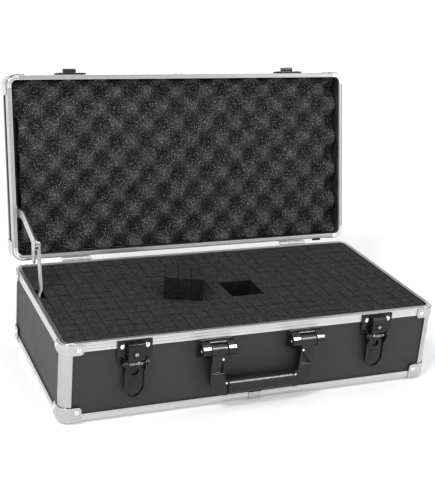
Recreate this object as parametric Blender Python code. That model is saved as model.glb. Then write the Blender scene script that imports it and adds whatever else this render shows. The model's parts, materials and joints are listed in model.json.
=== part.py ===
"""Telescope carry case: an aluminium-framed flight case, stored with its lid open.

The base box stands on four pressed corner caps and holds cubed foam. The lid turns on two rear
hinges and is held open by a folding stay on the left. Two lever latches and a carrying handle
are on the front. Sizes are in millimetres in the case's own frame, whose zero is the middle of
the base on the ground, with the front at -Y. Meshes are scaled to metres when they are made.
"""
from math import atan2, cos, hypot, pi, radians, sin, sqrt

import bmesh
import bpy
from mathutils import Vector

MM = 0.001

# Driving sizes of the case
CASE_WIDTH = 450.0
CASE_DEPTH = 220.0
RIM_HEIGHT = 94.0
LID_HEIGHT = 32.0
LID_OPENING_DEG = 104.0
FRAME_SHIFT_Y = -37.526
PART_GAP = 0.3

HALF_WIDTH = CASE_WIDTH / 2
HALF_DEPTH = CASE_DEPTH / 2
CLOSED_RIM = RIM_HEIGHT + PART_GAP
LID_TOP = RIM_HEIGHT + LID_HEIGHT

# Extruded rails and the panels held in them
CORNER_RADIUS = 12.0
CORNER_STEPS = 6
RAIL_WALL = 1.2
RIM_RAIL_HEIGHT = 9.6
RIM_LIP = 5.6
RIM_INNER_WALL = 0.6
RIM_WEB = 1.6
RIM_EDGE_CHAMFER = 0.8
EDGE_RAIL_HEIGHT = 10.0
EDGE_RAIL_FLANGE = 9.0
EDGE_RAIL_ROUND = 4.5
EDGE_RAIL_BOTTOM = 1.5
PANEL_INSET = 1.5
PANEL_THICKNESS = 3.2
PANEL_INNER = PANEL_INSET + PANEL_THICKNESS
LID_BAND_THICKNESS = 2.2
FLOOR_PANEL_THICKNESS = 3.0
POST_THICKNESS = 5.0

# Pressed corner pieces
CAP_PROUD = 1.2
CAP_GAP = 0.3
CAP_HEIGHT = 20.0
CAP_REACH = 24.0
RIM_BRACKET_PROUD = 1.0
RIM_BRACKET_REACH = 26.0
RIM_BRACKET_BOTTOM = 81.0

# Foam
CUBE = 15.0
POCKET_CUBES = 3
POCKET_LEFT = -2.5
POCKET_FRONT = -31.0
FOAM_INSET = 5.9
FOAM_TOP = 93.0
CUBE_HEIGHT = 26.5
PAD_TOP = 14.0
STAY_SLOT_FRONT = -56.0
STAY_SLOT_BACK = 36.0
STAY_SLOT_EDGE = -210.5
BLOCK_CENTRE = (-53.3, -6.3)
BLOCK_TURN_DEG = -20.0
LID_FOAM_FACE = 101.0
LID_FOAM_BACK = 121.3

# Hinges
HINGE_X = 148.0
HINGE_HALF = 18.0
HINGE_KNUCKLE_HALF = 6.0
HINGE_AXIS_Y = HALF_DEPTH + 3.6
HINGE_AXIS_Z = RIM_HEIGHT + PART_GAP / 2
KNUCKLE_RADIUS = 3.0
LEAF_THICKNESS = 1.2
LEAF_END = 9.6

# Lid stay, beside the left wall
STAY_BASE_PIVOT = (22.0, 84.0)
STAY_LID_REACH = 62.0
STAY_LID_DEPTH = 8.0
STAY_FOLDED_ELBOW = (-41.5, 94.0)
ARM_HALF_WIDTH = 4.2
ARM_THICKNESS = 1.5
UPPER_ARM_X = -217.6
LOWER_ARM_X = -214.6
ELBOW_SLACK = 1.4

# Latches
LATCH_X = 146.5
LATCH_FACE_Y = -(HALF_DEPTH + PART_GAP)
LATCH_PLATE = 1.5
LATCH_AXIS_Y = -117.0
LATCH_AXIS_Z = 68.0
LOCK_Z = 79.0
LOCK_FRONT_Y = -119.0
LEVER_LENGTH = 42.0
LEVER_HALF_WIDTH = 11.5
LEVER_WALL = 1.3

# Handle
BRACKET_X = 53.75
HANDLE_AXIS_Y = -118.5
HANDLE_AXIS_Z = 74.0
HANDLE_DROP = 55.0
BARREL_RADIUS = 6.0
GRIP_HALF_LENGTH = 40.0


# ---------------------------------------------------------------- materials and objects

def make_material(name, colour, roughness, metallic):
    material = bpy.data.materials.new(name)
    material.use_nodes = True
    shader = material.node_tree.nodes["Principled BSDF"]
    shader.inputs["Base Color"].default_value = (*colour, 1.0)
    shader.inputs["Roughness"].default_value = roughness
    shader.inputs["Metallic"].default_value = metallic
    return material


def add_part(name, solid, look, parent, offset=(0.0, 0.0, 0.0)):
    """Turn a bmesh in case millimetres into an object; offset is its parent's place in the case."""
    bmesh.ops.translate(solid, verts=solid.verts, vec=-Vector(offset))
    bmesh.ops.scale(solid, verts=solid.verts, vec=(MM, MM, MM))
    bmesh.ops.recalc_face_normals(solid, faces=solid.faces)
    mesh = bpy.data.meshes.new(name)
    solid.to_mesh(mesh)
    solid.free()
    mesh.shade_smooth()
    mesh.set_sharp_from_angle(angle=radians(32))
    colour, roughness, metallic = look
    mesh.materials.append(make_material(name, colour, roughness, metallic))
    part = bpy.data.objects.new(name, mesh)
    bpy.context.scene.collection.objects.link(part)
    part.parent = parent
    return part


def add_empty(name, parent, location, turn_x=0.0):
    empty = bpy.data.objects.new(name, None)
    bpy.context.scene.collection.objects.link(empty)
    empty.parent = parent
    empty.location = Vector(location) * MM
    empty.rotation_euler = (turn_x, 0.0, 0.0)
    return empty


# ---------------------------------------------------------------- solids, in millimetres

def point_on(axis, u, v, w):
    """A point whose distance along the axis is w and whose other two coordinates are u and v."""
    if axis == "X":
        return (w, u, v)
    if axis == "Y":
        return (u, w, v)
    return (u, v, w)


def prism(outline, axis, low, high):
    solid = bmesh.new()
    near = [solid.verts.new(point_on(axis, u, v, low)) for u, v in outline]
    far = [solid.verts.new(point_on(axis, u, v, high)) for u, v in outline]
    solid.faces.new(near)
    solid.faces.new(far)
    for i in range(len(outline)):
        j = (i + 1) % len(outline)
        solid.faces.new((near[i], near[j], far[j], far[i]))
    bmesh.ops.recalc_face_normals(solid, faces=solid.faces)
    return solid


def box(x, y, z):
    outline = [(x[0], y[0]), (x[1], y[0]), (x[1], y[1]), (x[0], y[1])]
    return prism(outline, "Z", z[0], z[1])


def arc(centre, radius, start_deg, end_deg, steps):
    angles = [radians(start_deg + (end_deg - start_deg) * i / steps) for i in range(steps + 1)]
    return [(centre[0] + radius * cos(a), centre[1] + radius * sin(a)) for a in angles]


def cylinder(axis, centre, radius, low, high, steps=14):
    return prism(arc(centre, radius, 0, 360 - 360 / steps, steps - 1), axis, low, high)


def capsule(start, end, half_width, steps=5):
    """Outline of a strip with round ends."""
    heading = atan2(end[1] - start[1], end[0] - start[0]) * 180 / pi
    return (arc(end, half_width, heading - 90, heading + 90, steps)
            + arc(start, half_width, heading + 90, heading + 270, steps))


def rounded_rectangle(u, v, radius, steps=4):
    return (arc((u[0] + radius, v[0] + radius), radius, 180, 270, steps)
            + arc((u[1] - radius, v[0] + radius), radius, 270, 360, steps)
            + arc((u[1] - radius, v[1] - radius), radius, 0, 90, steps)
            + arc((u[0] + radius, v[1] - radius), radius, 90, 180, steps))


def case_outline(inset, steps=CORNER_STEPS):
    half_x = HALF_WIDTH - inset
    half_y = HALF_DEPTH - inset
    return rounded_rectangle((-half_x, half_x), (-half_y, half_y), CORNER_RADIUS - inset, steps)


def loft(sections, closed):
    """Skin a list of sections that each have the same number of points."""
    solid = bmesh.new()
    rings = [[solid.verts.new(point) for point in section] for section in sections]
    count = len(rings[0])
    spans = len(rings) if closed else len(rings) - 1
    for i in range(spans):
        here = rings[i]
        there = rings[(i + 1) % len(rings)]
        for j in range(count):
            k = (j + 1) % count
            solid.faces.new((here[j], here[k], there[k], there[j]))
    if not closed:
        solid.faces.new(rings[0])
        solid.faces.new(rings[-1])
    bmesh.ops.recalc_face_normals(solid, faces=solid.faces)
    return solid


def bent_rail(profile):
    """A rail bent round all four corners; profile points are (inset, height)."""
    rings = [case_outline(inset) for inset, height in profile]
    sections = []
    for i in range(len(rings[0])):
        sections.append([(ring[i][0], ring[i][1], height)
                         for ring, (inset, height) in zip(rings, profile)])
    return loft(sections, closed=True)


def corner_piece(profile, reach, side_x, side_y):
    """A pressed piece bent round one corner, reaching the same way along both sides."""
    sections = []
    for i in range(-1, CORNER_STEPS + 2):
        section = []
        for inset, height in profile:
            radius = CORNER_RADIUS - inset
            turn = radians(90 * min(max(i, 0), CORNER_STEPS) / CORNER_STEPS)
            x = HALF_WIDTH - CORNER_RADIUS + radius * sin(turn)
            y = HALF_DEPTH - CORNER_RADIUS + radius * cos(turn)
            if i < 0:
                x = HALF_WIDTH - reach
            if i > CORNER_STEPS:
                y = HALF_DEPTH - reach
            section.append((side_x * x, side_y * y, height))
        sections.append(section)
    return loft(sections, closed=False)


def scratch_object(solid):
    mesh = bpy.data.meshes.new("scratch")
    solid.to_mesh(mesh)
    solid.free()
    scratch = bpy.data.objects.new("scratch", mesh)
    bpy.context.scene.collection.objects.link(scratch)
    return scratch


def combine(body, tools, operation):
    """Boolean of a solid with others, returned as one clean solid."""
    target = scratch_object(body)
    cutters = [scratch_object(tool) for tool in tools]
    for cutter in cutters:
        modifier = target.modifiers.new("combine", "BOOLEAN")
        modifier.operation = operation
        modifier.object = cutter
    bpy.context.view_layer.update()
    result = bmesh.new()
    result.from_object(target, bpy.context.evaluated_depsgraph_get())
    for scratch in [target] + cutters:
        mesh = scratch.data
        bpy.data.objects.remove(scratch, do_unlink=True)
        bpy.data.meshes.remove(mesh)
    bmesh.ops.remove_doubles(result, verts=result.verts, dist=0.0005)
    bmesh.ops.dissolve_limit(result, angle_limit=radians(0.2), verts=result.verts,
                             edges=result.edges)
    return result


def join(body, *tools):
    return combine(body, tools, "UNION")


def cut(body, *tools):
    return combine(body, tools, "DIFFERENCE")


# ---------------------------------------------------------------- looks: colour, roughness, metal

SATIN_ALUMINIUM = ((0.62, 0.62, 0.62), 0.38, 1.0)
PRESSED_STEEL = ((0.55, 0.55, 0.55), 0.3, 1.0)
ZINC_STEEL = ((0.5, 0.5, 0.5), 0.35, 1.0)
BLACK_PANEL = ((0.035, 0.035, 0.037), 0.5, 0.0)
BLACK_ENAMEL = ((0.012, 0.012, 0.012), 0.18, 0.0)
BLACK_PLASTIC = ((0.02, 0.02, 0.021), 0.45, 0.0)
DARK_FOAM = ((0.03, 0.03, 0.031), 0.95, 0.0)
BLACK_RUBBER = ((0.015, 0.015, 0.015), 0.8, 0.0)


# ---------------------------------------------------------------- base box

def rim_profile(flip):
    """Channel that holds the panels' edges; flip gives the lid's rail, which faces down."""
    lip_to_foot = RIM_RAIL_HEIGHT
    points = [
        (0.0, -lip_to_foot), (0.0, -RIM_EDGE_CHAMFER), (RIM_EDGE_CHAMFER, 0.0), (RIM_LIP, 0.0),
        (RIM_LIP, 1.0 - lip_to_foot), (RIM_LIP - RIM_INNER_WALL, 1.0 - lip_to_foot),
        (RIM_LIP - RIM_INNER_WALL, -RIM_WEB), (RAIL_WALL, -RIM_WEB), (RAIL_WALL, -lip_to_foot),
    ]
    if flip:
        return [(inset, CLOSED_RIM - height) for inset, height in points]
    return [(inset, RIM_HEIGHT + height) for inset, height in points]


def edge_profile(ground, direction):
    """Angle rail with a rounded outer edge; direction is +1 on the base and -1 on the lid."""
    points = [(0.0, EDGE_RAIL_HEIGHT)]
    for inset, height in arc((EDGE_RAIL_ROUND, EDGE_RAIL_ROUND), EDGE_RAIL_ROUND, 180, 270, 3):
        points.append((inset, height))
    points += [
        (EDGE_RAIL_FLANGE, 0.0), (EDGE_RAIL_FLANGE, RAIL_WALL),
        (EDGE_RAIL_ROUND, RAIL_WALL), (RAIL_WALL, EDGE_RAIL_ROUND), (RAIL_WALL, EDGE_RAIL_HEIGHT),
    ]
    return [(inset, ground + direction * height) for inset, height in points]


def cap_profile(ground, direction, height):
    """Cross-section of a pressed corner cap that wraps an edge rail."""
    outer = EDGE_RAIL_ROUND + EDGE_RAIL_BOTTOM
    points = [(-CAP_PROUD, height)]
    for inset, level in arc((EDGE_RAIL_ROUND, outer), EDGE_RAIL_ROUND + CAP_PROUD, 180, 270, 3):
        points.append((inset, level - (EDGE_RAIL_BOTTOM - CAP_PROUD)))
    points += [(EDGE_RAIL_FLANGE, 0.0), (EDGE_RAIL_FLANGE, CAP_PROUD)]
    for inset, level in arc((EDGE_RAIL_ROUND, outer), EDGE_RAIL_ROUND + CAP_GAP, 270, 180, 3):
        points.append((inset, level))
    points.append((-CAP_GAP, height))
    return [(inset, ground + direction * level) for inset, level in points]


def build_base(case):
    floor_low = EDGE_RAIL_BOTTOM + RAIL_WALL + PART_GAP
    floor_outline = case_outline(PANEL_INNER + PART_GAP)
    add_part("base_bottom_panel", prism(floor_outline, "Z", floor_low,
             floor_low + FLOOR_PANEL_THICKNESS), BLACK_PANEL, case)

    panel_z = (EDGE_RAIL_BOTTOM + EDGE_RAIL_ROUND + PART_GAP, RIM_HEIGHT - RIM_WEB - PART_GAP)
    span_x = HALF_WIDTH - CORNER_RADIUS - PART_GAP
    span_y = HALF_DEPTH - CORNER_RADIUS - PART_GAP
    for name, side in (("front", -1), ("back", 1)):
        faces = sorted((side * (HALF_DEPTH - PANEL_INSET), side * (HALF_DEPTH - PANEL_INNER)))
        add_part(f"base_{name}_panel", box((-span_x, span_x), faces, panel_z), BLACK_PANEL, case)
    for name, side in (("left", -1), ("right", 1)):
        faces = sorted((side * (HALF_WIDTH - PANEL_INSET), side * (HALF_WIDTH - PANEL_INNER)))
        add_part(f"base_{name}_panel", box(faces, (-span_y, span_y), panel_z), BLACK_PANEL, case)

    add_part("base_rim_rail", bent_rail(rim_profile(False)), SATIN_ALUMINIUM, case)
    add_part("base_edge_rail", bent_rail(edge_profile(EDGE_RAIL_BOTTOM, 1)), SATIN_ALUMINIUM,
             case)

    post_z = (EDGE_RAIL_BOTTOM + EDGE_RAIL_HEIGHT + PART_GAP,
              RIM_HEIGHT - RIM_RAIL_HEIGHT - PART_GAP)
    rim_bracket = [(-RIM_BRACKET_PROUD, RIM_BRACKET_BOTTOM), (-RIM_BRACKET_PROUD, FOAM_TOP),
                   (-CAP_GAP, FOAM_TOP), (-CAP_GAP, RIM_BRACKET_BOTTOM)]
    for name, side_x, side_y in (("front_left", -1, -1), ("front_right", 1, -1),
                                 ("back_left", -1, 1), ("back_right", 1, 1)):
        centre = (side_x * (HALF_WIDTH - CORNER_RADIUS), side_y * (HALF_DEPTH - CORNER_RADIUS))
        start = 45 * (2 - side_x) if side_y > 0 else 45 * (6 + side_x)
        outline = (arc(centre, CORNER_RADIUS, start - 45, start + 45, CORNER_STEPS)
                   + arc(centre, CORNER_RADIUS - POST_THICKNESS, start + 45, start - 45,
                         CORNER_STEPS))
        add_part(f"base_post_{name}", prism(outline, "Z", *post_z), SATIN_ALUMINIUM, case)
        add_part(f"base_rim_bracket_{name}",
                 corner_piece(rim_bracket, RIM_BRACKET_REACH, side_x, side_y),
                 PRESSED_STEEL, case)
        add_part(f"base_corner_cap_{name}",
                 corner_piece(cap_profile(0.0, 1, CAP_HEIGHT), CAP_REACH, side_x, side_y),
                 PRESSED_STEEL, case)


def joiner(face, ground, direction):
    """Sleeve over the butt joint of an edge rail, on the middle of the front."""
    thickness = 0.9
    front = face - thickness
    flange = face + EDGE_RAIL_FLANGE
    top = EDGE_RAIL_HEIGHT + 1.8
    underside = EDGE_RAIL_BOTTOM - PART_GAP
    section = [(front, top), (front, underside - thickness), (flange, underside - thickness),
               (flange, underside), (face, underside), (face, top)]
    outline = [(y, ground + direction * z) for y, z in section]
    return prism(outline, "X", -7.5, 7.5)


def build_foam(case):
    wall = FOAM_INSET
    floor_top = EDGE_RAIL_BOTTOM + RAIL_WALL + PART_GAP + FLOOR_PANEL_THICKNESS
    layer_low = FOAM_TOP - CUBE_HEIGHT
    outline = case_outline(wall)
    add_part("base_foam_pad", prism(outline, "Z", floor_top + PART_GAP, PAD_TOP), DARK_FOAM, case)
    add_part("base_foam_lower", prism(outline, "Z", PAD_TOP + PART_GAP, layer_low - PART_GAP),
             DARK_FOAM, case)

    pocket = CUBE * POCKET_CUBES
    through = (layer_low - 5, FOAM_TOP + 5)
    hole = box((POCKET_LEFT, POCKET_LEFT + pocket), (POCKET_FRONT, POCKET_FRONT + pocket), through)
    slot = box((-HALF_WIDTH, STAY_SLOT_EDGE), (STAY_SLOT_FRONT, STAY_SLOT_BACK), through)
    layer = cut(prism(outline, "Z", layer_low, FOAM_TOP), hole, slot)
    add_part("base_foam_upper", layer, DARK_FOAM, case)

    half = pocket / 2
    block = box((-half, half), (-half, half), (0.0, CUBE_HEIGHT))
    place = add_part("foam_block", block, DARK_FOAM, case)
    place.location = Vector((*BLOCK_CENTRE, FOAM_TOP + PART_GAP)) * MM
    place.rotation_euler.z = radians(BLOCK_TURN_DEG)


# ---------------------------------------------------------------- lid, drawn closed

def build_lid(lid, axis):
    add_part("lid_rim_rail", bent_rail(rim_profile(True)), SATIN_ALUMINIUM, lid, axis)
    add_part("lid_edge_rail", bent_rail(edge_profile(LID_TOP, -1)), SATIN_ALUMINIUM, lid, axis)

    band_z = (CLOSED_RIM + RIM_WEB + PART_GAP, LID_TOP - EDGE_RAIL_ROUND - PART_GAP)
    band_inner = PANEL_INSET + LID_BAND_THICKNESS
    band = [(PANEL_INSET, band_z[0]), (PANEL_INSET, band_z[1]), (band_inner, band_z[1]),
            (band_inner, band_z[0])]
    add_part("lid_side_band", bent_rail(band), BLACK_PANEL, lid, axis)
    panel_top = LID_TOP - RAIL_WALL - PART_GAP
    add_part("lid_top_panel",
             prism(case_outline(EDGE_RAIL_ROUND + PART_GAP), "Z",
                   panel_top - FLOOR_PANEL_THICKNESS, panel_top), BLACK_PANEL, lid, axis)

    slot = box((-HALF_WIDTH, STAY_SLOT_EDGE), (STAY_SLOT_FRONT - 4, 76.0), (90.0, 116.0))
    foam = prism(case_outline(FOAM_INSET), "Z", LID_FOAM_FACE, LID_FOAM_BACK - PART_GAP)
    add_part("lid_foam", cut(foam, slot), DARK_FOAM, lid, axis)

    cap_height = LID_TOP + EDGE_RAIL_BOTTOM - CLOSED_RIM - 2.0
    for name, side_x, side_y in (("front_left", -1, -1), ("front_right", 1, -1),
                                 ("back_left", -1, 1), ("back_right", 1, 1)):
        profile = cap_profile(LID_TOP + EDGE_RAIL_BOTTOM, -1, cap_height)
        add_part(f"lid_corner_cap_{name}", corner_piece(profile, CAP_REACH, side_x, side_y),
                 PRESSED_STEEL, lid, axis)
    add_part("lid_rail_joiner", joiner(LATCH_FACE_Y, LID_TOP + EDGE_RAIL_BOTTOM, -1),
             PRESSED_STEEL, lid, axis)

    for name, x in (("left", -LATCH_X), ("right", LATCH_X)):
        plate = prism(rounded_rectangle((x - 19, x + 19), (CLOSED_RIM + 0.7, 108.0), 3.0), "Y",
                      LATCH_FACE_Y - 1.2, LATCH_FACE_Y)
        hook = [(LATCH_FACE_Y - 0.6, 102.3), (LATCH_FACE_Y - 6.4, 102.3),
                (LATCH_FACE_Y - 8.2, 103.6), (LATCH_FACE_Y - 8.2, 106.4),
                (LATCH_FACE_Y - 0.6, 106.4)]
        catch = join(plate, prism(hook, "X", x - 8, x + 8))
        add_part(f"latch_{name}_catch", catch, ZINC_STEEL, lid, axis)

    pad = prism(rounded_rectangle((181.0, 193.0), (CLOSED_RIM + 1.5, CLOSED_RIM + 7.5), 2.9), "Y",
                HALF_DEPTH + PART_GAP, HALF_DEPTH + 2.8)
    add_part("lid_rest_bumper", pad, BLACK_RUBBER, lid, axis)


# ---------------------------------------------------------------- hinges

def hinge_leaf(x, direction, knuckles):
    """A leaf on the rear face with its knuckles; direction is -1 for the base leaf."""
    back = HALF_DEPTH + PART_GAP
    face = back + LEAF_THICKNESS
    root = HINGE_AXIS_Z + direction * (KNUCKLE_RADIUS + 0.35)
    end = HINGE_AXIS_Z + direction * LEAF_END
    leaf = box((x - HINGE_HALF, x + HINGE_HALF), (back, face), sorted((root, end)))
    centre = (HINGE_AXIS_Y, HINGE_AXIS_Z)
    tabs = []
    bores = []
    for low, high in knuckles:
        tabs.append(box((x + low, x + high), (back, face),
                        sorted((root + direction * 0.5, HINGE_AXIS_Z + direction * 0.9))))
        tabs.append(cylinder("X", centre, KNUCKLE_RADIUS, x + low, x + high))
        bores.append(cylinder("X", centre, 1.4, x + low - 1, x + high + 1, 10))
    return cut(join(leaf, *tabs), *bores)


def build_hinges(case, lid, axis):
    half = HINGE_HALF
    middle = HINGE_KNUCKLE_HALF
    for name, x in (("left", -HINGE_X), ("right", HINGE_X)):
        outer = [(-half, -middle - PART_GAP), (middle + PART_GAP, half)]
        add_part(f"hinge_{name}_base_leaf", hinge_leaf(x, -1, outer), ZINC_STEEL, case)
        add_part(f"hinge_{name}_lid_leaf", hinge_leaf(x, 1, [(-middle, middle)]), ZINC_STEEL,
                 lid, axis)
        pin = join(cylinder("X", (axis[1], axis[2]), 1.1, x - half - 0.5, x + half + 0.5, 10),
                   cylinder("X", (axis[1], axis[2]), 2.0, x - half - 1.2, x - half - 0.3, 10),
                   cylinder("X", (axis[1], axis[2]), 2.0, x + half + 0.3, x + half + 1.2, 10))
        add_part(f"hinge_{name}_pin", pin, ZINC_STEEL, case)


# ---------------------------------------------------------------- lid stay

def lid_point(opening_deg, reach, depth):
    """Where a point of the lid is in the Y-Z plane when the lid is open by an angle."""
    turn = radians(opening_deg)
    y = HINGE_AXIS_Y - reach * cos(turn) + depth * sin(turn)
    z = HINGE_AXIS_Z + reach * sin(turn) + depth * cos(turn)
    return (y, z)


def open_elbow():
    """Where the two arms of the stay meet when the lid is open, from the folded position."""
    base = STAY_BASE_PIVOT
    folded = lid_point(0.0, STAY_LID_REACH, STAY_LID_DEPTH)
    opened = lid_point(LID_OPENING_DEG, STAY_LID_REACH, STAY_LID_DEPTH)
    lower = hypot(STAY_FOLDED_ELBOW[0] - base[0], STAY_FOLDED_ELBOW[1] - base[1])
    upper = hypot(STAY_FOLDED_ELBOW[0] - folded[0], STAY_FOLDED_ELBOW[1] - folded[1])
    apart = hypot(opened[0] - base[0], opened[1] - base[1])
    along = (lower ** 2 - upper ** 2 + apart ** 2) / (2 * apart)
    aside = sqrt(lower ** 2 - along ** 2)
    unit = ((opened[0] - base[0]) / apart, (opened[1] - base[1]) / apart)
    return (base[0] + along * unit[0] - aside * unit[1],
            base[1] + along * unit[1] + aside * unit[0])


def pivot_bracket(centre, wall_x, heights):
    """A plate with a headed stud, facing into the case from the left wall."""
    plate = prism(rounded_rectangle((centre[0] - 8, centre[0] + 8), heights, 2.5), "X",
                  wall_x, UPPER_ARM_X - PART_GAP)
    stud = cylinder("X", centre, 2.0, UPPER_ARM_X - 0.6, UPPER_ARM_X + 2.6)
    head = cylinder("X", centre, 3.8, UPPER_ARM_X + ARM_THICKNESS + 0.3, UPPER_ARM_X + 3.0)
    return join(plate, stud, head)


def lower_arm(base, elbow):
    """Arm with a joggle that carries it inward, and the elbow's rivet fixed in its end."""
    length = hypot(elbow[0] - base[0], elbow[1] - base[1])
    along = ((elbow[0] - base[0]) / length, (elbow[1] - base[1]) / length)
    across = (-along[1], along[0])
    stations = [(-4.2, 1.5, UPPER_ARM_X), (-3.0, 3.0, UPPER_ARM_X), (0.0, 4.2, UPPER_ARM_X),
                (8.0, 4.2, UPPER_ARM_X), (14.0, 4.2, LOWER_ARM_X), (length, 4.2, LOWER_ARM_X),
                (length + 3.0, 3.0, LOWER_ARM_X), (length + 4.2, 1.5, LOWER_ARM_X)]
    sections = []
    for distance, half_width, x in stations:
        corners = []
        for side, face in ((-1, 0.0), (1, 0.0), (1, ARM_THICKNESS), (-1, ARM_THICKNESS)):
            y = base[0] + along[0] * distance + side * half_width * across[0]
            z = base[1] + along[1] * distance + side * half_width * across[1]
            corners.append((x + face, y, z))
        sections.append(corners)
    arm = cut(loft(sections, closed=False),
              cylinder("X", base, 2.4, UPPER_ARM_X - 2, UPPER_ARM_X + 4))
    return join(arm,
                cylinder("X", elbow, 1.6, UPPER_ARM_X - 0.6, LOWER_ARM_X + 1.0, 10),
                cylinder("X", elbow, 4.8, UPPER_ARM_X - 1.1, UPPER_ARM_X - 0.3),
                cylinder("X", elbow, 3.6, LOWER_ARM_X + 1.0, LOWER_ARM_X + 2.9))


def upper_arm(lid_pivot, elbow):
    """Arm with a knee near the lid and a slotted lock plate that hangs behind the elbow."""
    knee = (lid_pivot[0] + 0.32 * (elbow[0] - lid_pivot[0]),
            lid_pivot[1] + 0.32 * (elbow[1] - lid_pivot[1]) + 7.5)
    shoulder = (elbow[0] + 12.0, elbow[1] + 0.5)
    foot = (elbow[0] + 8.0, elbow[1] - 21.0)
    planes = (UPPER_ARM_X, UPPER_ARM_X + ARM_THICKNESS)
    arm = join(prism(capsule(lid_pivot, knee, ARM_HALF_WIDTH), "X", *planes),
               prism(capsule(knee, elbow, 5.6), "X", *planes),
               prism(capsule(shoulder, foot, ARM_HALF_WIDTH), "X", *planes))
    slot = capsule((elbow[0] + 9.6, elbow[1] - 12.5), (elbow[0] + 8.4, elbow[1] - 19.0), 1.1, 3)
    return cut(arm,
               cylinder("X", lid_pivot, 2.4, UPPER_ARM_X - 2, UPPER_ARM_X + 4),
               cylinder("X", elbow, 1.6 + ELBOW_SLACK, UPPER_ARM_X - 2, UPPER_ARM_X + 4),
               prism(slot, "X", UPPER_ARM_X - 2, UPPER_ARM_X + 4))


def build_stay(case, lid, axis):
    base = STAY_BASE_PIVOT
    elbow = open_elbow()
    folded = lid_point(0.0, STAY_LID_REACH, STAY_LID_DEPTH)
    opened = lid_point(LID_OPENING_DEG, STAY_LID_REACH, STAY_LID_DEPTH)
    wall = -(HALF_WIDTH - PANEL_INNER - PART_GAP)
    add_part("stay_base_bracket", pivot_bracket(base, wall, (68.0, 85.1)), ZINC_STEEL, case)
    lid_wall = -(HALF_WIDTH - RIM_LIP - PART_GAP)
    add_part("stay_lid_bracket", pivot_bracket(folded, lid_wall, (97.5, 109.0)), ZINC_STEEL,
             lid, axis)

    base_pivot = (0.0, *base)
    hub = add_empty("stay_base_axis", case, base_pivot)
    add_part("stay_lower_arm", lower_arm(base, elbow), ZINC_STEEL, hub, base_pivot)
    lid_pivot = (0.0, *opened)
    hub = add_empty("stay_lid_axis", case, lid_pivot)
    add_part("stay_upper_arm", upper_arm(opened, elbow), ZINC_STEEL, hub, lid_pivot)


# ---------------------------------------------------------------- latches

def latch_body(x):
    front = LATCH_FACE_Y - LATCH_PLATE
    outline = [(x - 19.5, 91.5), (x - 18, 93), (x + 18, 93), (x + 19.5, 91.5), (x + 19.5, 74),
               (x + 17.5, 66), (x + 12.5, 53), (x + 9, 50), (x - 9, 50), (x - 12.5, 53),
               (x - 17.5, 66), (x - 19.5, 74)]
    plate = prism(outline, "Y", front, LATCH_FACE_Y)
    housing_side = [(front + 0.6, 71.2), (LOCK_FRONT_Y + 1.5, 71.2), (LOCK_FRONT_Y, 73.0),
                    (LOCK_FRONT_Y, 88.0), (LOCK_FRONT_Y + 2.5, 90.5), (front + 0.6, 90.5)]
    housing = prism(housing_side, "X", x - 9.8, x + 9.8)
    axis = (LATCH_AXIS_Y, LATCH_AXIS_Z)
    ear_side = [(front + 0.6, 62.0), (LATCH_AXIS_Y, 64.4)] + arc(axis, 3.6, 270, 90, 5) \
        + [(LATCH_AXIS_Y, 71.6), (front + 0.6, 74.0)]
    ears = [prism(ear_side, "X", x + low, x + high) for low, high in ((-13.6, -11.9), (11.9, 13.6))]
    solid = join(plate, housing, *ears)
    return cut(solid,
               cylinder("X", axis, 1.6, x - 15, x - 11, 10),
               cylinder("X", axis, 1.6, x + 11, x + 15, 10),
               cylinder("Y", (x, LOCK_Z), 4.4, LOCK_FRONT_Y - 1, front + 0.2))


def lock_cylinder(x):
    face = LOCK_FRONT_Y - 0.5
    barrel = cylinder("Y", (x, LOCK_Z), 4.0, face, LATCH_FACE_Y - LATCH_PLATE - 0.3)
    keyway = box((x - 0.6, x + 0.6), (face - 1, face + 3.0), (LOCK_Z - 2.2, LOCK_Z + 2.2))
    return cut(barrel, keyway)


def latch_lever(x):
    web_back = LATCH_FACE_Y - LATCH_PLATE - 0.8
    web_front = web_back - 1.4
    flange_front = LATCH_AXIS_Y - 3.0
    tip = LATCH_AXIS_Z - LEVER_LENGTH
    half = LEVER_HALF_WIDTH
    outline = [(x - half, 66.0), (x - half, tip + 5), (x - 5.5, tip + 0.8), (x, tip),
               (x + 5.5, tip + 0.8), (x + half, tip + 5), (x + half, 66.0)]
    web = prism(outline, "Y", web_front, web_back)
    axis = (LATCH_AXIS_Y, LATCH_AXIS_Z)
    side = [(web_back, 66.0), (web_back, tip + 5.2), (flange_front, tip + 5.2),
            (flange_front, 66.0)] + arc(axis, 3.4, 205, -25, 8)
    flanges = [prism(side, "X", x - half, x - half + LEVER_WALL),
               prism(side, "X", x + half - LEVER_WALL, x + half)]
    lip = [(x - 9, tip + 3.3), (x - 5.5, tip + 0.8), (x, tip), (x + 5.5, tip + 0.8),
           (x + 9, tip + 3.3)]
    hook = prism(lip, "Y", flange_front, web_front + 0.5)
    lever = join(web, *flanges, hook)
    window_z = 2 * LATCH_AXIS_Z - LOCK_Z
    return cut(lever,
               cylinder("X", axis, 1.6, x - 15, x + 15, 10),
               cylinder("Y", (x, window_z), 4.6, web_front - 1, web_back + 1))


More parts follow.
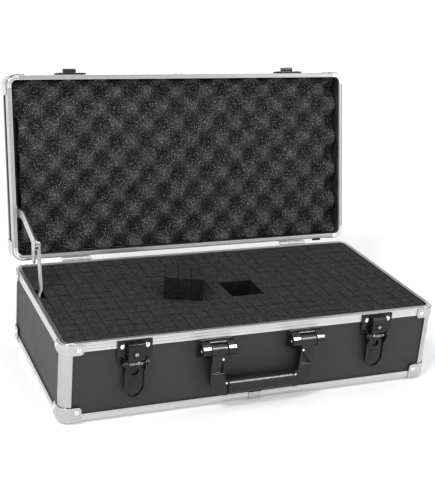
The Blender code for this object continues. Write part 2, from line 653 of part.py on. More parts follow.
def build_latches(case):
    for name, x in (("left", -LATCH_X), ("right", LATCH_X)):
        add_part(f"latch_{name}_body", latch_body(x), BLACK_ENAMEL, case)
        lock_axis = (x, 0.0, LOCK_Z)
        lock_hub = add_empty(f"lock_{name}_axis", case, lock_axis)
        add_part(f"latch_{name}_lock_cylinder", lock_cylinder(x), ZINC_STEEL, lock_hub, lock_axis)
        lever_axis = (x, LATCH_AXIS_Y, LATCH_AXIS_Z)
        lever_hub = add_empty(f"lever_{name}_axis", case, lever_axis)
        add_part(f"latch_{name}_lever", latch_lever(x), BLACK_ENAMEL, lever_hub, lever_axis)
        centre = (LATCH_AXIS_Y, LATCH_AXIS_Z)
        pin = join(cylinder("X", centre, 1.2, x - 14.5, x + 14.5, 10),
                   cylinder("X", centre, 2.1, x - 15.0, x - 13.9, 10),
                   cylinder("X", centre, 2.1, x + 13.9, x + 15.0, 10))
        add_part(f"latch_{name}_pin", pin, ZINC_STEEL, case)


# ---------------------------------------------------------------- handle

def handle_bracket(x):
    panel_face = -(HALF_DEPTH - PANEL_INSET + PART_GAP)
    front = panel_face - 2.5
    plate = prism(rounded_rectangle((x - 21.25, x + 21.25), (60.5, 84.0), 3.0), "Y",
                  front, panel_face)
    ear_side = [(front + 0.8, 64.0), (-118.0, 66.6), (-122.5, 68.8), (-125.0, 72.0),
                (-125.0, 76.0), (-120.5, 81.4), (front + 0.8, 82.6)]
    ears = [prism(ear_side, "X", x + low, x + high) for low, high in ((-19.8, -9.8), (9.8, 19.8))]
    axis = (HANDLE_AXIS_Y, HANDLE_AXIS_Z)
    bores = [cylinder("X", axis, 2.3, x - 16.0, x - 9.0, 12),
             cylinder("X", axis, 2.3, x + 9.0, x + 16.0, 12)]
    return cut(join(plate, *ears), *bores)


def handle_bail():
    """Both arms, the core rod that joins them, and the stub axles in the brackets."""
    axis = (HANDLE_AXIS_Y, HANDLE_AXIS_Z)
    low = HANDLE_AXIS_Z - HANDLE_DROP
    pieces = []
    for side in (-1, 1):
        x = side * BRACKET_X
        pieces.append(cylinder("X", axis, BARREL_RADIUS, x - 9.4, x + 9.4))
        pieces.append(cylinder("X", axis, 1.9, x - 15.5, x + 15.5, 12))
        outer = side * 61.5
        outline = [(side * 62.5, HANDLE_AXIS_Z), (outer, 62.0), (outer, low + 20.0)]
        outline += [(side * abs(u), v) for u, v in
                    arc((61.5 - 20.0, low + 20.0), 20.0, -11.25, -78.75, 5)]
        outline += [(side * 41.5, low), (side * (GRIP_HALF_LENGTH + PART_GAP), low),
                    (side * (GRIP_HALF_LENGTH + PART_GAP), low + 17.5), (side * 44.5, low + 20.5),
                    (side * 46.0, 62.0), (side * 45.5, HANDLE_AXIS_Z)]
        pieces.append(prism(outline, "Y", -122.5, -114.5))
    core = cylinder("X", (HANDLE_AXIS_Y, low + 8.5), 4.0, -42.0, 42.0, 12)
    return join(core, *pieces)


def build_handle(case):
    axis = (0.0, HANDLE_AXIS_Y, HANDLE_AXIS_Z)
    hub = add_empty("handle_axis", case, axis)
    for name, x in (("left", -BRACKET_X), ("right", BRACKET_X)):
        add_part(f"handle_bracket_{name}", handle_bracket(x), BLACK_ENAMEL, case)
    add_part("handle_bail", handle_bail(), BLACK_PLASTIC, hub, axis)
    low = HANDLE_AXIS_Z - HANDLE_DROP
    section = rounded_rectangle((-124.5, -112.5), (low + 0.2, low + 16.8), 5.0)
    grip = cut(prism(section, "X", -GRIP_HALF_LENGTH, GRIP_HALF_LENGTH),
               cylinder("X", (HANDLE_AXIS_Y, low + 8.5), 4.3, -45.0, 45.0, 12))
    add_part("handle_grip", grip, BLACK_PLASTIC, hub, axis)


def build_case():
    for leftover in list(bpy.data.objects):
        bpy.data.objects.remove(leftover, do_unlink=True)
    case = add_empty("case_origin", None, (0.0, FRAME_SHIFT_Y, 0.0))
    hinge_axis = (0.0, HINGE_AXIS_Y, HINGE_AXIS_Z)
    lid = add_empty("lid_axis", case, hinge_axis, -radians(LID_OPENING_DEG))
    build_base(case)
    add_part("base_rail_joiner", joiner(LATCH_FACE_Y, 0.0, 1), PRESSED_STEEL, case)
    build_foam(case)
    build_lid(lid, hinge_axis)
    build_hinges(case, lid, hinge_axis)
    build_stay(case, lid, hinge_axis)
    build_latches(case)
    build_handle(case)


build_case()
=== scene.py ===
"""Looks of the telescope carry case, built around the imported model.

Shapes are drawn in millimetres in the case's own frame, whose zero is the middle of the base on
the ground with the front at -Y. The lid's pieces are drawn with the lid closed and turned open
about the hinge axis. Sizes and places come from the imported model's boxes and joints.
"""
import json
from math import atan2, ceil, cos, hypot, pi, radians, sin, sqrt

import bmesh
import bpy
import numpy as np
from mathutils import Matrix, Vector, noise


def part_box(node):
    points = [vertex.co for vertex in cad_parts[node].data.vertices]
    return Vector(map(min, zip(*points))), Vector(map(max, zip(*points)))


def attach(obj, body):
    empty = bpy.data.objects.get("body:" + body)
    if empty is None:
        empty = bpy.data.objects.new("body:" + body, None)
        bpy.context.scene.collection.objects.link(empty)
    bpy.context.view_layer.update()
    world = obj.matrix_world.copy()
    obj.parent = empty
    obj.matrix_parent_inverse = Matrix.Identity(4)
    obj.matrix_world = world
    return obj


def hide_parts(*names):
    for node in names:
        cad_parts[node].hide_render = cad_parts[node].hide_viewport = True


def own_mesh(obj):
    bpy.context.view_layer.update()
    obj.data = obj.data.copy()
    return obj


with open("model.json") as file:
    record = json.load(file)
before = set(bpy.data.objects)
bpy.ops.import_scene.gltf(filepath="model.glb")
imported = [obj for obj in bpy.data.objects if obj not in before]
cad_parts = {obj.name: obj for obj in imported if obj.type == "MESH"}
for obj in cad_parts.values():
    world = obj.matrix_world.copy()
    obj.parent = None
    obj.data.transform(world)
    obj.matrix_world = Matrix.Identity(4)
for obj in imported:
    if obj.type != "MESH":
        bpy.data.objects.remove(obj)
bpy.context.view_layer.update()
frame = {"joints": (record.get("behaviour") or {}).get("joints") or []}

MM = 0.001

JOINTS = {joint["name"]: joint for joint in frame["joints"]}
EDGE_LOW, EDGE_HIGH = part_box("base_edge_rail")
CENTRE_Y = (EDGE_LOW.y + EDGE_HIGH.y) / 2
HALF_WIDTH = (EDGE_HIGH.x - EDGE_LOW.x) / 2 / MM
HALF_DEPTH = (EDGE_HIGH.y - EDGE_LOW.y) / 2 / MM
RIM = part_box("base_rim_rail")[1].z / MM
OPENING = radians(JOINTS["lid_hinge"]["range_deg"][1])


def joint_place(name):
    """A joint's Y and Z in the case's frame, in millimetres."""
    place = JOINTS[name]["pos_m"]
    return ((place[1] - CENTRE_Y) / MM, place[2] / MM)


def centre_x(node):
    low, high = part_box(node)
    return (low.x + high.x) / 2 / MM


HINGE_AXIS = joint_place("lid_hinge")
CLOSED_RIM = 2 * HINGE_AXIS[1] - RIM
LID_HEIGHT = 32.0
LID_TOP = RIM + LID_HEIGHT
CORNER_RADIUS = 12.0
CORNERS = {"front_left": (-1, -1), "front_right": (1, -1),
           "back_left": (-1, 1), "back_right": (1, 1)}
PART_GAP = 0.3
# Where the backs of the fittings on the front and back sit, measured from the middle.
FITTING_SEAT = HALF_DEPTH + PART_GAP
CAP_PROUD = 1.5

LID_TURN = (Matrix.Translation((0, HINGE_AXIS[0], HINGE_AXIS[1]))
            @ Matrix.Rotation(-OPENING, 4, "X")
            @ Matrix.Translation((0, -HINGE_AXIS[0], -HINGE_AXIS[1])))
TO_ROW = Matrix.Translation((0, CENTRE_Y, 0)) @ Matrix.Scale(MM, 4)

rng = np.random.default_rng(7)
GLOSSY = bpy.data.collections.new("glossy_hardware")


# ---------------------------------------------------------------- outlines, in millimetres

def arc(centre, radius, start_deg, end_deg, steps):
    angles = [radians(start_deg + (end_deg - start_deg) * i / steps) for i in range(steps + 1)]
    return [(centre[0] + radius * cos(a), centre[1] + radius * sin(a)) for a in angles]


def rounded_rectangle(u, v, radius, steps=6):
    return (arc((u[0] + radius, v[0] + radius), radius, 180, 270, steps)
            + arc((u[1] - radius, v[0] + radius), radius, 270, 360, steps)
            + arc((u[1] - radius, v[1] - radius), radius, 0, 90, steps)
            + arc((u[0] + radius, v[1] - radius), radius, 90, 180, steps))


def capsule(start, end, half_width, steps=10):
    heading = atan2(end[1] - start[1], end[0] - start[0]) * 180 / pi
    return (arc(end, half_width, heading - 90, heading + 90, steps)
            + arc(start, half_width, heading + 90, heading + 270, steps))


def rounded_outline(points, radius, steps=5):
    """Round every corner of an outline that has straight sides."""
    rounded = []
    count = len(points)
    for i in range(count):
        corner = Vector(points[i])
        before = (Vector(points[i - 1]) - corner)
        after = (Vector(points[(i + 1) % count]) - corner)
        reach = min(radius, before.length * 0.45, after.length * 0.45)
        start = corner + before.normalized() * reach
        end = corner + after.normalized() * reach
        for step in range(steps + 1):
            t = step / steps
            point = start * (1 - t) ** 2 + corner * 2 * t * (1 - t) + end * t ** 2
            rounded.append((point.x, point.y))
    return rounded


# ---------------------------------------------------------------- solids, in millimetres

def point_on(axis, u, v, w):
    if axis == "X":
        return (w, u, v)
    if axis == "Y":
        return (u, w, v)
    return (u, v, w)


def prism(outline, axis, low, high):
    solid = bmesh.new()
    near = [solid.verts.new(point_on(axis, u, v, low)) for u, v in outline]
    far = [solid.verts.new(point_on(axis, u, v, high)) for u, v in outline]
    solid.faces.new(near)
    solid.faces.new(far)
    for i in range(len(outline)):
        j = (i + 1) % len(outline)
        solid.faces.new((near[i], near[j], far[j], far[i]))
    bmesh.ops.recalc_face_normals(solid, faces=solid.faces)
    return solid


def box(x, y, z):
    return prism([(x[0], y[0]), (x[1], y[0]), (x[1], y[1]), (x[0], y[1])], "Z", z[0], z[1])


def cylinder(axis, centre, radius, low, high, steps=28):
    return prism(arc(centre, radius, 0, 360 - 360 / steps, steps - 1), axis, low, high)


def bevel(solid, width, segments=2, angle=32):
    edges = [edge for edge in solid.edges
             if len(edge.link_faces) == 2 and edge.calc_face_angle(0) > radians(angle)]
    bmesh.ops.bevel(solid, geom=edges, offset=width, offset_type="OFFSET", segments=segments,
                    profile=0.5, affect="EDGES", clamp_overlap=True)
    return solid


def loft(sections, closed):
    solid = bmesh.new()
    rings = [[solid.verts.new(point) for point in section] for section in sections]
    count = len(rings[0])
    spans = len(rings) if closed else len(rings) - 1
    for i in range(spans):
        here = rings[i]
        there = rings[(i + 1) % len(rings)]
        for j in range(count):
            k = (j + 1) % count
            solid.faces.new((here[j], here[k], there[k], there[j]))
    if not closed:
        solid.faces.new(rings[0])
        solid.faces.new(rings[-1])
    bmesh.ops.recalc_face_normals(solid, faces=solid.faces)
    return solid


def lathe(profile, foot, outward, steps=20, ring=False):
    """Turn a profile of (radius, height) about a line that leaves foot along outward."""
    outward = Vector(outward).normalized()
    side = outward.orthogonal().normalized()
    across = outward.cross(side)
    foot = Vector(foot)
    sections = []
    for radius, height in profile:
        circle = []
        for i in range(steps):
            turn = 2 * pi * i / steps
            spoke = side * cos(turn) + across * sin(turn)
            circle.append(foot + outward * height + spoke * radius)
        sections.append(circle)
    return loft(sections, closed=ring)


def rivet(foot, outward, radius=2.6, height=1.4):
    """A domed rivet head with a rolled foot."""
    profile = [(radius, -0.4), (radius, 0.12 * height), (radius * 0.96, 0.3 * height)]
    for i in range(1, 7):
        turn = radians(15 * i)
        profile.append((radius * 0.93 * cos(turn) + 0.001, height * (0.3 + 0.7 * sin(turn))))
    return lathe(profile, foot, outward)


def front_rivets(x, offset, y, z, radius, height):
    """Two rivets on the front, each at an offset to one side of x."""
    return [rivet((x + side * offset, y, z), (0, -1, 0), radius, height) for side in (-1, 1)]


def end_rivets(x, offset, centre, radius, height):
    """Rivet heads on both ends of a rod that runs along X."""
    return [rivet((x + side * offset, *centre), (side, 0, 0), radius, height) for side in (-1, 1)]


def rounded_plate(u, v, radius, axis, low, high, edge, segments=2):
    """A rectangular plate with rounded corners and softened edges."""
    return bevel(prism(rounded_rectangle(u, v, radius), axis, low, high), edge, segments)


def tube(path, radius, steps=8):
    """A round wire along a path of points."""
    path = [Vector(point) for point in path]
    sections = []
    normal = (path[1] - path[0]).orthogonal().normalized()
    for i, point in enumerate(path):
        along = (path[min(i + 1, len(path) - 1)] - path[max(i - 1, 0)]).normalized()
        normal = (normal - along * normal.dot(along)).normalized()
        across = along.cross(normal)
        sections.append([point + (normal * cos(2 * pi * k / steps)
                                  + across * sin(2 * pi * k / steps)) * radius
                         for k in range(steps)])
    return loft(sections, closed=False)


def gather(*solids):
    """Put closed solids together in one mesh."""
    whole = bmesh.new()
    for solid in solids:
        mesh = bpy.data.meshes.new("scratch")
        solid.to_mesh(mesh)
        solid.free()
        whole.from_mesh(mesh)
        bpy.data.meshes.remove(mesh)
    return whole


def add_quads(solid, grid):
    for near, far in zip(grid, grid[1:]):
        for i in range(len(near) - 1):
            solid.faces.new((near[i], near[i + 1], far[i + 1], far[i]))


def grid_rim(grid):
    """The vertices round the edge of a grid, in order."""
    return (grid[0][:-1] + [row[-1] for row in grid[:-1]]
            + grid[-1][:0:-1] + [row[0] for row in grid[:0:-1]])


def close_behind(solid, rings):
    """Walls from each ring of vertices to the next, and a face over the last one."""
    for upper, lower in zip(rings, rings[1:]):
        for i in range(len(upper)):
            j = (i + 1) % len(upper)
            solid.faces.new((upper[i], lower[i], lower[j], upper[j]))
    solid.faces.new(list(reversed(rings[-1])))
    bmesh.ops.recalc_face_normals(solid, faces=solid.faces)


def scratch_object(solid):
    mesh = bpy.data.meshes.new("scratch")
    solid.to_mesh(mesh)
    solid.free()
    scratch = bpy.data.objects.new("scratch", mesh)
    bpy.context.scene.collection.objects.link(scratch)
    return scratch


def combine(body, tools, operation):
    target = scratch_object(body)
    cutters = [scratch_object(tool) for tool in tools]
    for cutter in cutters:
        modifier = target.modifiers.new("combine", "BOOLEAN")
        modifier.operation = operation
        modifier.object = cutter
    bpy.context.view_layer.update()
    result = bmesh.new()
    result.from_object(target, bpy.context.evaluated_depsgraph_get())
    for scratch in [target] + cutters:
        mesh = scratch.data
        bpy.data.objects.remove(scratch, do_unlink=True)
        bpy.data.meshes.remove(mesh)
    bmesh.ops.remove_doubles(result, verts=result.verts, dist=0.0005)
    bmesh.ops.dissolve_limit(result, angle_limit=radians(0.5), verts=result.verts,
                             edges=result.edges)
    return result


def join(body, *tools):
    return combine(body, tools, "UNION")


def cut(body, *tools):
    return combine(body, tools, "DIFFERENCE")


def case_outline(inset, steps=10):
    half_x = HALF_WIDTH - inset
    half_y = HALF_DEPTH - inset
    return rounded_rectangle((-half_x, half_x), (-half_y, half_y), CORNER_RADIUS - inset, steps)


def bent_rail(profile):
    """A rail bent round all four corners; profile points are (inset, height)."""
    rings = [case_outline(inset) for inset, height in profile]
    sections = []
    for i in range(len(rings[0])):
        sections.append([(ring[i][0], ring[i][1], height)
                         for ring, (inset, height) in zip(rings, profile)])
    return loft(sections, closed=True)


def corner_sheet(profile_at, reach, side_x, side_y, steps=10):
    """A sheet bent round a corner; profile_at gives its section at a distance from its end."""
    straight = reach - CORNER_RADIUS
    ends = [t for t in (0.0, 0.35, 0.9, 1.7, 2.8, 4.2, 6.5) if t < straight]
    stations = [("x", t) for t in ends]
    stations += [("turn", i) for i in range(steps + 1)]
    stations += [("y", t) for t in reversed(ends)]
    sections = []
    for kind, value in stations:
        distance = straight if kind == "turn" else value
        section = []
        for inset, height in profile_at(distance):
            radius = CORNER_RADIUS - inset
            turn = {"x": 0.0, "y": pi / 2}.get(kind, pi / 2 * value / steps)
            x = HALF_WIDTH - CORNER_RADIUS + radius * sin(turn)
            y = HALF_DEPTH - CORNER_RADIUS + radius * cos(turn)
            if kind == "x":
                x = HALF_WIDTH - reach + value
            if kind == "y":
                y = HALF_DEPTH - reach + value
            section.append((side_x * x, side_y * y, height))
        sections.append(section)
    return loft(sections, closed=False)


# ---------------------------------------------------------------- materials

def new_material(name, colour, roughness, metallic=0.0, **sockets):
    material = bpy.data.materials.new(name)
    material.use_nodes = True
    shader = principled(material)
    shader.inputs["Base Color"].default_value = (*colour, 1.0)
    shader.inputs["Roughness"].default_value = roughness
    shader.inputs["Metallic"].default_value = metallic
    for socket, value in sockets.items():
        shader.inputs[socket.replace("_", " ")].default_value = value
    return material


def principled(material):
    return material.node_tree.nodes["Principled BSDF"]


def add_node(owner, kind, **settings):
    """Add a node to the tree of a material or the world."""
    node = owner.node_tree.nodes.new(kind)
    for key, value in settings.items():
        setattr(node, key, value)
    return node


def feed(owner, value, socket):
    """Set a socket to a number or colour, or link another node's output to it."""
    if isinstance(value, (int, float, tuple)):
        socket.default_value = value
    else:
        owner.node_tree.links.new(value, socket)


def calculate(owner, operation, *values):
    node = add_node(owner, "ShaderNodeMath", operation=operation)
    for value, socket in zip(values, node.inputs):
        feed(owner, value, socket)
    return node.outputs[0]


def mix_colours(owner, blend, share, base, top):
    node = add_node(owner, "ShaderNodeMix", data_type="RGBA", blend_type=blend)
    for socket, value in (("Factor", share), ("A", base), ("B", top)):
        feed(owner, value, node.inputs[socket])
    return node.outputs["Result"]


def map_range(owner, value, *limits):
    """Stretch a value; limits are the lowest and highest it comes from, then goes to."""
    node = add_node(owner, "ShaderNodeMapRange")
    for socket, limit in zip(("From Min", "From Max", "To Min", "To Max"), limits):
        node.inputs[socket].default_value = limit
    feed(owner, value, node.inputs["Value"])
    return node.outputs["Result"]


def component(owner, vector, axis):
    node = add_node(owner, "ShaderNodeSeparateXYZ")
    feed(owner, vector, node.inputs["Vector"])
    return node.outputs[axis]


def object_coordinates(material, scale=(1, 1, 1), turn_x=0.0):
    where = add_node(material, "ShaderNodeTexCoord")
    mapping = add_node(material, "ShaderNodeMapping", vector_type="POINT")
    mapping.inputs["Rotation"].default_value = (turn_x, 0, 0)
    stretch = add_node(material, "ShaderNodeVectorMath", operation="MULTIPLY")
    stretch.inputs[1].default_value = scale
    feed(material, where.outputs["Object"], mapping.inputs["Vector"])
    feed(material, mapping.outputs["Vector"], stretch.inputs[0])
    return stretch.outputs["Vector"]


def noise_texture(material, vector, scale, detail=2.0, roughness=0.5):
    texture = add_node(material, "ShaderNodeTexNoise")
    for socket, value in (("Vector", vector), ("Scale", scale), ("Detail", detail),
                          ("Roughness", roughness)):
        feed(material, value, texture.inputs[socket])
    return texture.outputs["Fac"]


def ramp(owner, value, stops):
    """A colour ramp; each stop is a position and a grey level or a colour."""
    node = add_node(owner, "ShaderNodeValToRGB")
    elements = node.color_ramp.elements
    while len(elements) < len(stops):
        elements.new(0.5)
    for element, (position, colour) in zip(elements, stops):
        element.position = position
        element.color = (*colour, 1.0) if isinstance(colour, tuple) else (colour,) * 3 + (1.0,)
    feed(owner, value, node.inputs["Fac"])
    return node.outputs["Color"]


def drive(material, socket, value, stops):
    """Feed one of the shader's sockets from a value, through a ramp."""
    feed(material, ramp(material, value, stops), principled(material).inputs[socket])


def add_bump(material, value, strength, distance):
    bump = add_node(material, "ShaderNodeBump")
    bump.inputs["Strength"].default_value = strength
    bump.inputs["Distance"].default_value = distance
    feed(material, value, bump.inputs["Height"])
    feed(material, bump.outputs["Normal"], principled(material).inputs["Normal"])


def brushed_metal(name, tone, roughness, stretch, turn_x=0.0):
    """Metal with fine lines along the axis whose stretch is small, and light handling marks."""
    material = new_material(name, (tone,) * 3, roughness, 1.0)
    lines = noise_texture(material, object_coordinates(material, stretch, turn_x), 1.0, 3.0, 0.6)
    wear = noise_texture(material, object_coordinates(material), 45.0, 4.0, 0.65)
    marks = calculate(material, "MULTIPLY", wear, 0.45)
    mixed = calculate(material, "MULTIPLY_ADD", lines, 0.55, marks)
    drive(material, "Base Color", mixed, [(0.3, tone * 0.92), (0.62, (tone, tone, tone * 1.01))])
    drive(material, "Roughness", mixed, [(0.3, roughness * 1.35), (0.65, roughness * 0.85)])
    add_bump(material, lines, 0.12, 0.00012)
    return material


def enamel(name, tone, roughness):
    """Glossy black paint with slight orange peel and dust."""
    material = new_material(name, (tone,) * 3, roughness, 0.0, Specular_IOR_Level=0.2,
                            Coat_Weight=0.18, Coat_Roughness=0.05)
    place = object_coordinates(material)
    dust = noise_texture(material, place, 160.0, 5.0, 0.7)
    drive(material, "Base Color", dust, [(0.35, tone * 0.7), (0.75, tone * 1.9)])
    drive(material, "Roughness", dust, [(0.3, roughness * 0.8), (0.8, roughness * 1.6)])
    add_bump(material, noise_texture(material, place, 900.0, 2.0), 0.12, 0.0001)
    return material


def moulded_plastic(name, tone, roughness, grain=1400.0):
    """Black plastic with a fine moulded grain."""
    material = new_material(name, (tone,) * 3, roughness, 0.0, Specular_IOR_Level=0.3)
    place = object_coordinates(material)
    cloud = noise_texture(material, place, 70.0, 4.0, 0.6)
    drive(material, "Base Color", cloud, [(0.3, tone * 0.8), (0.7, tone * 1.25)])
    drive(material, "Roughness", cloud, [(0.3, roughness * 0.88), (0.75, roughness * 1.15)])
    add_bump(material, noise_texture(material, place, grain, 2.0), 0.35, 0.00012)
    return material


def open_cell_foam(name, tone, glints, cell_scale, painted_side_shade=1.0, pits=None):
    """Dark foam with open pores, and painted glints: bright specks added to its colour where broken
    cells would catch the light.

    The side shade factor darkens faces that don't look up, as painted shade. pits gives the
    heights, on the shut lid, between which painted shade darkens the foam towards the bottom of its
    hollows and painted light brightens its peaks.
    """
    material = new_material(name, (tone,) * 3, 0.95, 0.0, Specular_IOR_Level=0.12)
    place = object_coordinates(material)
    pores = noise_texture(material, place, 640.0, 2.0, 0.75)
    clumps = noise_texture(material, place, 120.0, 3.0, 0.6)
    walls = add_node(material, "ShaderNodeTexVoronoi")
    walls.inputs["Scale"].default_value = cell_scale
    feed(material, place, walls.inputs["Vector"])
    near = ramp(material, walls.outputs["Distance"], [(0.12, 1.0), (0.42, 0.0)])
    chosen = ramp(material, walls.outputs["Color"], [(0.25, 0.0), (0.7, 1.0)])
    glint = calculate(material, "MULTIPLY", near, chosen)
    colour = ramp(material, pores, [(0.28, tone * 0.35), (0.5, tone), (0.74, tone * 2.0)])
    shades = [ramp(material, clumps, [(0.3, 0.7), (0.7, 1.25)])]
    # Painted shade, deeper towards the bottom of the lid foam's hollows, and painted light on its
    # peaks.
    if pits:
        height = component(material, object_coordinates(material, (1, 1, 1), OPENING), "Z")
        shades.append(map_range(material, height, *pits, 1.3, 0.5))
    # Painted shade on faces that don't look up.
    if painted_side_shade < 1.0:
        geometry = add_node(material, "ShaderNodeNewGeometry")
        upward = component(material, geometry.outputs["Normal"], "Z")
        shades.append(ramp(material, upward, [(0.2, painted_side_shade), (0.75, 1.0)]))
    for shade in shades:
        colour = mix_colours(material, "MULTIPLY", 1.0, colour, shade)
    # Painted glints: bright specks added to the foam's colour.
    lit = mix_colours(material, "ADD", glint, colour, (glints, glints, glints, 1.0))
    feed(material, lit, principled(material).inputs["Base Color"])
    add_bump(material, pores, 0.9, 0.0009)
    return material


def woven_laminate(name, tone, across=None, turn_x=0.0):
    """Dark satin laminate; across names the two axes its small raised diamonds run along, and along
    which the colour paints them lighter on top and darker between, as painted highlight and shade.
    """
    material = new_material(name, (tone,) * 3, 0.42, 0.0, Specular_IOR_Level=0.35)
    place = object_coordinates(material, (1, 1, 1), turn_x)
    cloud = noise_texture(material, place, 22.0, 4.0, 0.6)
    colour = ramp(material, cloud, [(0.3, (tone * 0.88, tone * 0.88, tone * 0.9)),
                                    (0.7, (tone * 1.12, tone * 1.12, tone * 1.15))])
    if across:
        waves = []
        for axis in across:
            phase = calculate(material, "MULTIPLY", component(material, place, axis),
                              pi / (WEAVE * MM))
            waves.append(calculate(material, "COSINE", phase))
        diamonds = calculate(material, "MULTIPLY", *waves)
        # Painted highlight on the raised diamonds and painted shade between them.
        diamond_light_and_shade = ramp(material, diamonds, [(0.0, 0.6), (0.35, 1.0), (1.0, 2.6)])
        colour = mix_colours(material, "MULTIPLY", 1.0, colour, diamond_light_and_shade)
    feed(material, colour, principled(material).inputs["Base Color"])
    drive(material, "Roughness", cloud, [(0.3, 0.38), (0.7, 0.5)])
    add_bump(material, noise_texture(material, place, 1100.0, 2.0), 0.15, 0.0001)
    return material


HORIZONTAL = (3.0, 3.0, 1500.0)
UPRIGHT = (1500.0, 1500.0, 3.0)
ALUMINIUM = brushed_metal("brushed_aluminium", 0.64, 0.3, HORIZONTAL)
ALUMINIUM_POST = brushed_metal("brushed_aluminium_post", 0.52, 0.36, UPRIGHT)
ALUMINIUM_LID = brushed_metal("brushed_aluminium_lid", 0.60, 0.3, HORIZONTAL, OPENING)
PRESSED_STEEL = brushed_metal("pressed_steel", 0.55, 0.24, (260.0, 260.0, 260.0))
RIVET_STEEL = brushed_metal("rivet_steel", 0.85, 0.14, (300.0, 300.0, 300.0))
ZINC_STEEL = brushed_metal("zinc_plated_steel", 0.55, 0.26, (400.0, 60.0, 60.0))
HINGE_STEEL = brushed_metal("hinge_steel", 0.78, 0.3, (400.0, 60.0, 60.0))
SPRING_STEEL = brushed_metal("spring_steel", 0.6, 0.2, (500.0, 500.0, 500.0))
BLACK_ENAMEL = enamel("black_enamel", 0.006, 0.16)
DARK_STEEL = brushed_metal("dark_steel", 0.09, 0.3, (400.0, 400.0, 400.0))
HANDLE_PLASTIC = moulded_plastic("handle_plastic", 0.007, 0.36)
GRIP_PLASTIC = moulded_plastic("grip_plastic", 0.007, 0.34, 1900.0)
RUBBER = moulded_plastic("bumper_rubber", 0.012, 0.75, 900.0)
WEAVE = 1.3
WEAVE_RELIEF = 0.22
LAMINATE = woven_laminate("laminate", 0.026)
LAMINATE_FRONT = woven_laminate("laminate_front", 0.030, ("X", "Z"))
LAMINATE_SIDE = woven_laminate("laminate_side", 0.034, ("Y", "Z"))
LAMINATE_LID = woven_laminate("laminate_lid", 0.030, ("X", "Y"), OPENING)
CUBED_FOAM = open_cell_foam("cubed_foam", 0.031, 0.06, 620.0, 0.3)
# The lid foam's peaks and hollows on the shut lid, and the same heights as the looks see them,
# between which the waved foam gets painted shade in its hollows and painted light on its peaks.
FOAM_FACE = 101.0
FOAM_VALLEY = 115.5
HINGE_Y = HINGE_AXIS[0] + CENTRE_Y / MM
TURNED_SHIFT = sin(OPENING) * HINGE_Y + (cos(OPENING) - 1) * HINGE_AXIS[1]
LID_PIT_SHADE = ((FOAM_FACE + 1.5 + TURNED_SHIFT) * MM, (FOAM_VALLEY - 2.0 + TURNED_SHIFT) * MM)
WAVED_FOAM = open_cell_foam("waved_foam", 0.036, 0.32, 600.0, pits=LID_PIT_SHADE)
# A darker copy of the cubed foam for the plucked block: painted shade.
SHADED_LOOSE_FOAM = open_cell_foam("loose_foam", 0.025, 0.03, 620.0, 0.4)
# A darker copy of the cubed foam: painted shade on the floor of the pocket, where the core shows.
SHADED_CORE_FOAM = open_cell_foam("shaded_core_foam", 0.013, 0.02, 620.0)


# ---------------------------------------------------------------- pieces

def add_piece(name, solid, material, body, replaces=(), in_lid=False, smooth_deg=40):
    if in_lid:
        bmesh.ops.transform(solid, verts=solid.verts, matrix=LID_TURN)
    bmesh.ops.transform(solid, verts=solid.verts, matrix=TO_ROW)
    mesh = bpy.data.meshes.new(name)
    solid.to_mesh(mesh)
    solid.free()
    mesh.shade_smooth()
    mesh.set_sharp_from_angle(angle=radians(smooth_deg))
    mesh.materials.append(material)
    piece = bpy.data.objects.new(name, mesh)
    bpy.context.scene.collection.objects.link(piece)
    if material in (BLACK_ENAMEL, HANDLE_PLASTIC, GRIP_PLASTIC):
        GLOSSY.objects.link(piece)
    weighted = piece.modifiers.new("weighted_normals", "WEIGHTED_NORMAL")
    weighted.keep_sharp = True
    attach(piece, body)
    if replaces:
        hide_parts(*replaces)
    return piece


# ---------------------------------------------------------------- rails

def grooved(inset, levels, width, depth, rising=True):
    """Profile points of a face at an inset, cut by shallow V grooves at the given heights."""
    points = []
    for level in (levels if rising else reversed(levels)):
        step = width / 2 if rising else -width / 2
        points += [(inset, level - step), (inset + depth, level), (inset, level + step)]
    return points


def rim_profile(mirror):
    """Section of the rim rail; mirror turns it over for the lid."""
    top = RIM
    points = [(0.0, top - 9.6)]
    points += grooved(0.0, [top - 6.6, top - 3.0], 1.3, 0.45)
    points += [(0.0, top - 1.2), (0.1, top - 0.7), (0.35, top - 0.3), (0.8, top - 0.02),
               (1.5, top), (1.75, top - 0.75), (2.35, top - 0.75), (2.6, top - 0.1),
               (3.7, top - 0.1), (3.95, top - 0.75), (4.4, top - 0.75), (4.6, top),
               (5.1, top), (5.45, top - 0.15), (5.6, top - 0.5), (5.6, top - 8.6),
               (5.0, top - 8.6), (5.0, top - 1.6), (1.2, top - 1.6), (1.2, top - 9.6)]
    if mirror:
        return [(inset, 2 * HINGE_AXIS[1] - height) for inset, height in points]
    return points


def edge_profile(ground, direction):
    """Section of the edge rail; direction is 1 on the base and -1 on the lid."""
    points = [(1.2, 10.0), (0.0, 10.0)]
    points += [(0.0, 8.6), (0.4, 8.1), (0.0, 7.6)]
    points += arc((4.5, 4.5), 4.5, 180, 270, 8)
    points += [(6.6, 0.0), (6.9, 0.3), (7.2, 0.0), (9.0, 0.0), (9.0, 1.2), (4.5, 1.2), (1.2, 4.5)]
    return [(inset, ground + direction * height) for inset, height in points]


POST_STEPS = 30
POST_GROOVE = 0.6
POST_INNER_RADIUS = 7.2


